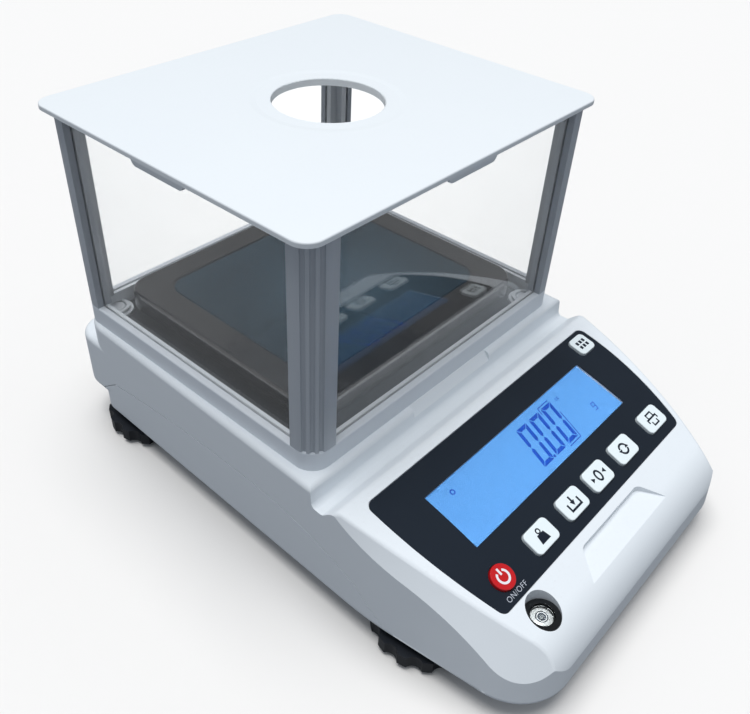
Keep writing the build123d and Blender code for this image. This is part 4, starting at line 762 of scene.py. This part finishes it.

# Spirit level: a black cup in the nose holds a vial with a silvered cone under a flat glass;
# a double ring is printed on the cone's crown, and the bubble in the middle is a dark dome coloured with painted
# shade.
CUP_COLOUR = (0.006, 0.007, 0.008, 1)
CUP_SHADE = (0.012, 0.013, 0.015, 1)
SILVER = (0.64, 0.65, 0.67, 1)
SILVER_SHADE = (0.42, 0.43, 0.45, 1)
COVER_TINT = (0.97, 0.99, 0.98, 1)
COVER_BENDING = 1.15
# The bubble's dark grey is painted shade.
BUBBLE_PAINTED_SHADE = (0.12, 0.13, 0.14, 1)
LEVEL_RINGS = ((0.0024, 0.00040), (0.00145, 0.00062))
VIAL_FACE_DROP = 0.0017
CONE_RISE = 0.0011
CROWN_RADIUS = 0.0027
BUBBLE_RADIUS = 0.0011
BUBBLE_HEIGHT = 0.00025
BUBBLE_SINK = 0.0001
COLLAR_WIDTH = 0.0003
COVER_THICKNESS = 0.0002

cup_plastic = moulded("cup_plastic", CUP_COLOUR, CUP_SHADE, 0.40, size=0.0004, depth=0.000002)
dress(cup_plastic, "level_case")
vial_low, vial_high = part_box("level_vial")
vial_x = (vial_low.x + vial_high.x) / 2
vial_y = (vial_low.y + vial_high.y) / 2
vial_radius = (vial_high.x - vial_low.x) / 2
face_z = vial_high.z - VIAL_FACE_DROP


def turned(name, profile, material, body, centre, steps=64, smooth=False):
    """A round piece turned about an upright axis from radius and height pairs, closed at the axis."""
    form = bmesh.new()
    rings = []
    for radius, height in profile:
        ring = []
        for k in range(1 if radius < WELD else steps):
            turn = 2 * pi * k / steps
            ring.append(form.verts.new((centre[0] + radius * cos(turn), centre[1] + radius * sin(turn), height)))
        rings.append(ring)
    for first, second in zip(rings, rings[1:]):
        for k in range(steps):
            after = (k + 1) % steps
            corners = [first[k % len(first)], first[after % len(first)]]
            corners += [second[after % len(second)], second[k % len(second)]]
            unique = list(dict.fromkeys(corners))
            if len(unique) > 2:
                form.faces.new(unique)
    bmesh.ops.remove_doubles(form, verts=form.verts, dist=WELD)
    return finish_piece(name, form, material, body, smooth=smooth)


silver_material, tree, shader, vector = new_material("vial_silver")
shader.inputs["Metallic"].default_value = 0.35
sheen_cloud = noise_node(tree, vector, 320.0, 3.0)
tree.links.new(blend_colours(tree, sheen_cloud, SILVER, SILVER_SHADE), shader.inputs["Base Color"])
tree.links.new(range_node(tree, sheen_cloud, 0.30, 0.45, "To"), shader.inputs["Roughness"])
crown_z = face_z + CONE_RISE
vial_seat = [(0, vial_low.z), (vial_radius, vial_low.z), (vial_radius, face_z)]
vial_seat += [(CROWN_RADIUS, crown_z), (0, crown_z)]
vial_cup = turned("level_vial_cup", vial_seat, silver_material, "housing", (vial_x, vial_y))
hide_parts("level_vial")
collar_radius = vial_radius - COLLAR_WIDTH
collar_foot = face_z + 0.0001
collar = [(collar_radius, collar_foot), (vial_radius, collar_foot), (vial_radius, vial_high.z)]
collar += [(collar_radius, vial_high.z), (collar_radius, collar_foot)]
turned("level_collar", collar, cup_plastic, "housing", (vial_x, vial_y))


def on_crown(x, y, height):
    """The place of prints on the crown of the vial's cone."""
    return Vector((vial_x + x, vial_y + y, crown_z + height))


level_rings = bmesh.new()
for ring_radius, ring_width in LEVEL_RINGS:
    add_stroke(level_rings, circle_points(ring_radius), ring_width, on_crown, closed=True)
finish_piece("level_rings", level_rings, key_ink, "housing")
clear_cover = clear_material("vial_cover", COVER_TINT, 0.0, COVER_BENDING)
cover_radius = collar_radius - 0.00002
cover_foot = vial_high.z - COVER_THICKNESS
cover = [(0, cover_foot), (cover_radius, cover_foot), (cover_radius, vial_high.z), (0, vial_high.z)]
turned("level_glass", cover, clear_cover, "housing", (vial_x, vial_y))
bubble = [(0, crown_z - BUBBLE_SINK), (BUBBLE_RADIUS, crown_z - BUBBLE_SINK)]
for angle in range(0, 90, 10):
    bubble.append((BUBBLE_RADIUS * cos(radians(angle)), crown_z + BUBBLE_HEIGHT * sin(radians(angle))))
bubble.append((0, crown_z + BUBBLE_HEIGHT))
# The bubble's material carries painted shade.
bubble_painted_shade = ink_and_painted_shade("bubble_painted_shade", BUBBLE_PAINTED_SHADE, 0.25)
turned("level_bubble", bubble, bubble_painted_shade, "housing", (vial_x, vial_y), 32, smooth=True)

# Levelling feet: black moulded hand wheels on threaded studs, each turning on a rubber-soled pad
# and in a brass insert that is pressed into the lower shell.
CORNERS = ("front_left", "front_right", "rear_left", "rear_right")
WHEEL_COLOUR = (0.010, 0.012, 0.016, 1)
WHEEL_SHADE = (0.016, 0.018, 0.022, 1)
RUBBER_COLOUR = (0.016, 0.016, 0.017, 1)
RUBBER_SHADE = (0.024, 0.024, 0.025, 1)
BRASS = (0.60, 0.44, 0.18, 1)
BRASS_SHADE = (0.48, 0.34, 0.14, 1)

wheel_plastic = moulded("wheel_plastic", WHEEL_COLOUR, WHEEL_SHADE, 0.34, depth=0.000005)
dress(wheel_plastic, *["foot_wheel_" + corner for corner in CORNERS])
pad_rubber = moulded("pad_rubber", RUBBER_COLOUR, RUBBER_SHADE, 0.75, size=0.0007, depth=0.00001)
dress(pad_rubber, "pan_buttons", *["foot_pad_" + corner for corner in CORNERS])


def worked_metal(name, colour, shade, roughness, stretch=(1, 1, 1), scale=700.0, depth=0.000004):
    """A metal with fine tool marks, which run along the axis that is squeezed most in the stretch."""
    material, tree, shader, vector = new_material(name)
    shader.inputs["Metallic"].default_value = 1.0
    squeeze = tree.nodes.new("ShaderNodeMapping")
    squeeze.inputs["Scale"].default_value = stretch
    tree.links.new(vector, squeeze.inputs["Vector"])
    marks = noise_node(tree, squeeze.outputs[0], scale, 4.0)
    cloud = noise_node(tree, vector, 30.0, 3.0)
    tree.links.new(blend_colours(tree, cloud, colour, shade), shader.inputs["Base Color"])
    spread_roughness(tree, shader, marks, roughness, 0.08)
    raise_bump(tree, shader, marks, depth)
    return material


dress(worked_metal("insert_brass", BRASS, BRASS_SHADE, 0.35, (1, 1, 8)), "foot_inserts")

# Draft shield frame: a light grey moulded frame that stands on the shelf, four fluted corner
# posts screwed to it from below, and the round studs that it drops over.
SHIELD_COLOUR = (0.74, 0.78, 0.82, 1)
SHIELD_SHADE = (0.70, 0.74, 0.79, 1)
# The posts' grey is darker than the frame's: partly their own greyer plastic and partly painted shade from under the
# lid.
POST_GREY_AND_PAINTED_SHADE = (0.46, 0.49, 0.525, 1)
POST_TONE_AND_PAINTED_SHADE = (0.42, 0.45, 0.49, 1)

shield_plastic = moulded("shield_plastic", SHIELD_COLOUR, SHIELD_SHADE, 0.38, depth=0.000005, dust=0.1)
dress(shield_plastic, "shield_frame", "shield_studs")
post_plastic_and_painted_shade = moulded("post_plastic_and_painted_shade", POST_GREY_AND_PAINTED_SHADE, POST_TONE_AND_PAINTED_SHADE, 0.36, depth=0.000004)
dress(post_plastic_and_painted_shade, *["post_" + corner for corner in CORNERS])

# Panes: four sheets of 2 mm float glass with polished edges, faintly green through the edge.
# Each slides down between the slots of two posts and stands in the frame's groove, without glue.
GLASS_TINT = (0.998, 1.0, 0.999, 1)

float_glass = clear_material("float_glass", GLASS_TINT, 0.0)
dress(float_glass, *["glass_" + side for side in ("front", "rear", "left", "right")])

# Lid: one white satin moulding with a round port for filling vessels from above.
# A collar under it drops between the post tops, and a locating tab stands on each side.
LID_COLOUR = (0.81, 0.845, 0.865, 1)
LID_SHADE = (0.785, 0.82, 0.845, 1)

lid_plastic = moulded("lid_plastic", LID_COLOUR, LID_SHADE, 0.36, depth=0.000003, dust=0.06)
dress(lid_plastic, "shield_lid")

# Chamber floor: a moulded plate that closes the weighing chamber below the pan, coloured near black: partly dark
# plastic and partly painted shade of the closed chamber. A ring on it keeps draughts from the column under the pan.
# Near-black tones: partly dark plastic and partly painted shade.
CHAMBER_FLOOR_DARK_AND_PAINTED_SHADE = (0.018, 0.022, 0.027, 1)
CHAMBER_FLOOR_TONE_AND_PAINTED_SHADE = (0.024, 0.029, 0.035, 1)

dress(moulded("floor_plastic_and_painted_shade", CHAMBER_FLOOR_DARK_AND_PAINTED_SHADE, CHAMBER_FLOOR_TONE_AND_PAINTED_SHADE, 0.5, dust=0.15), "chamber_floor")

# Weighing pan: pressed stainless steel, brushed along its width, with the thin blue protective
# film still on the well. It rests on four rubber buttons on a cast support.
STEEL = (0.37, 0.365, 0.365, 1)
STEEL_SHADE = (0.29, 0.285, 0.285, 1)
FILM_BLUE = (0.20, 0.32, 0.41, 1)
FILM_CLEAR = 0.8
WELL_WIDTH = 0.120
WELL_DEPTH = 0.103
WELL_CORNER = 0.010
WELL_DROP = 0.0005
FILM_INSET = 0.0006
FILM_CLEARANCE = 0.00003
FILM_THICKNESS = 0.00008
WRINKLE_HEIGHT = 0.00006
RING_COUNT = 60
EDGE_COUNT = 240
CAST_COLOUR = (0.60, 0.60, 0.61, 1)
CAST_SHADE = (0.50, 0.50, 0.51, 1)

dress(worked_metal("pan_steel", STEEL, STEEL_SHADE, 0.19, (0.04, 1, 1), 2600.0, 0.0000012), "weighing_pan")

pan_low, pan_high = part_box("weighing_pan")
well_centre = ((pan_low.x + pan_high.x) / 2, (pan_low.y + pan_high.y) / 2)
well_z = pan_high.z - WELL_DROP


def film_edge(turn_share, inset):
    """A point on the film's edge: a rounded rectangle walked by the share of a whole turn."""
    half_x = WELL_WIDTH / 2 - inset - WELL_CORNER
    half_y = WELL_DEPTH / 2 - inset - WELL_CORNER
    turn = 2 * pi * turn_share
    dx, dy = cos(turn), sin(turn)
    reach = min((half_x + WELL_CORNER) / max(abs(dx), 1e-6), (half_y + WELL_CORNER) / max(abs(dy), 1e-6))
    x, y = dx * reach, dy * reach
    if abs(x) > half_x and abs(y) > half_y:
        corner_x = half_x if x > 0 else -half_x
        corner_y = half_y if y > 0 else -half_y
        along = corner_x * dx + corner_y * dy
        gap = corner_x * corner_x + corner_y * corner_y - WELL_CORNER * WELL_CORNER
        reach = along + (along * along - gap) ** 0.5
        x, y = dx * reach, dy * reach
    return x, y


def wrinkle(x, y):
    """The film's bulges, a few centimetres wide, with finer ones that cross them."""
    wide = sin(x * 210 + 1.7 * sin(y * 95)) * sin(y * 170 + 1.3 * sin(x * 120))
    return max(0.0, wide + 0.6 * sin(x * 390 + y * 260 + 2.0))


film = bmesh.new()
film_outline = [film_edge(index / EDGE_COUNT, FILM_INSET) for index in range(EDGE_COUNT)]
film_foot = well_z + FILM_CLEARANCE
low_rings, top_rings = [], []
for ring_index in range(1, RING_COUNT + 1):
    share = ring_index / RING_COUNT
    ring = []
    for x, y in film_outline:
        px, py = x * share, y * share
        lift = WRINKLE_HEIGHT * wrinkle(px, py) * min(1.0, (1 - share) * 6)
        ring.append((well_centre[0] + px, well_centre[1] + py, film_foot + lift))
    low_rings.append([film.verts.new(point) for point in ring])
    top_rings.append([film.verts.new((x, y, z + FILM_THICKNESS)) for x, y, z in ring])
middle_z = film_foot + WRINKLE_HEIGHT * wrinkle(0, 0)
low_middle = film.verts.new((*well_centre, middle_z))
top_middle = film.verts.new((*well_centre, middle_z + FILM_THICKNESS))
for index in range(EDGE_COUNT):
    after = (index + 1) % EDGE_COUNT
    for middle, loops in ((top_middle, top_rings), (low_middle, low_rings)):
        film.faces.new((middle, loops[0][index], loops[0][after]))
        for inner, outer in zip(loops, loops[1:]):
            film.faces.new((inner[index], outer[index], outer[after], inner[after]))
    film.faces.new((low_rings[-1][index], low_rings[-1][after], top_rings[-1][after], top_rings[-1][index]))
film_material = clear_material("blue_film", FILM_BLUE, 0.03)
film_material.node_tree.nodes["Principled BSDF"].inputs["Transmission Weight"].default_value = FILM_CLEAR
finish_piece("pan_film", film, film_material, "pan", smooth=True)
cast_metal = worked_metal("cast_aluminium", CAST_COLOUR, CAST_SHADE, 0.42, scale=500.0, depth=0.000012)
dress(cast_metal, "pan_support")

# Load cell: a machined aluminium beam on its cast foot, with the overload stops and all screws
# in zinc-plated steel.
CELL_COLOUR = (0.70, 0.71, 0.72, 1)
CELL_SHADE = (0.62, 0.63, 0.65, 1)
ZINC_COLOUR = (0.58, 0.58, 0.60, 1)
ZINC_SHADE = (0.46, 0.46, 0.49, 1)

cell_metal = worked_metal("cell_aluminium", CELL_COLOUR, CELL_SHADE, 0.30, (1, 0.1, 1))
dress(cell_metal, "load_cell", "load_cell_base")
plated = worked_metal("plated_steel", ZINC_COLOUR, ZINC_SHADE, 0.32, (1, 1, 6))
dress(plated, "overload_stops", "cell_screws", "shell_screws", "post_screws", "board_screws", "data_port")

# Boards, switches and sockets: green glass-fibre boards, black switches, a black power inlet and
# a data connector in a plated shell, both open through the rear wall.
BOARD_COLOUR = (0.012, 0.085, 0.035, 1)
BOARD_SHADE = (0.016, 0.10, 0.042, 1)
SWITCH_COLOUR = (0.012, 0.012, 0.013, 1)
SWITCH_SHADE = (0.02, 0.02, 0.021, 1)
PIN_ROWS = ((5, 0.0014), (4, -0.0014))
PIN_PITCH = 0.00277
PIN_SIZE = (0.001, 0.0042, 0.001)
PIN_INSET = 0.0036

dress(moulded("board_resin", BOARD_COLOUR, BOARD_SHADE, 0.35, coat=0.3), "display_board", "main_board")
dress(moulded("switch_plastic", SWITCH_COLOUR, SWITCH_SHADE, 0.4), "key_switches", "power_socket")
port_low, port_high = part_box("data_port")
port_x = (port_low.x + port_high.x) / 2
port_z = (port_low.z + port_high.z) / 2
pins = bmesh.new()
for columns, row_z in PIN_ROWS:
    row_mesh = run_tree(block_grid, {
        "Columns": columns, "Rows": 1, "Pitch X": PIN_PITCH, "Pitch Y": PIN_PITCH,
        "Block": PIN_SIZE, "Material": plated,
    })
    for vertex in row_mesh.vertices:
        vertex.co += Vector((port_x, port_high.y - PIN_INSET, port_z + row_z))
    pins.from_mesh(row_mesh)
finish_piece("data_port_pins", pins, plated, "housing")
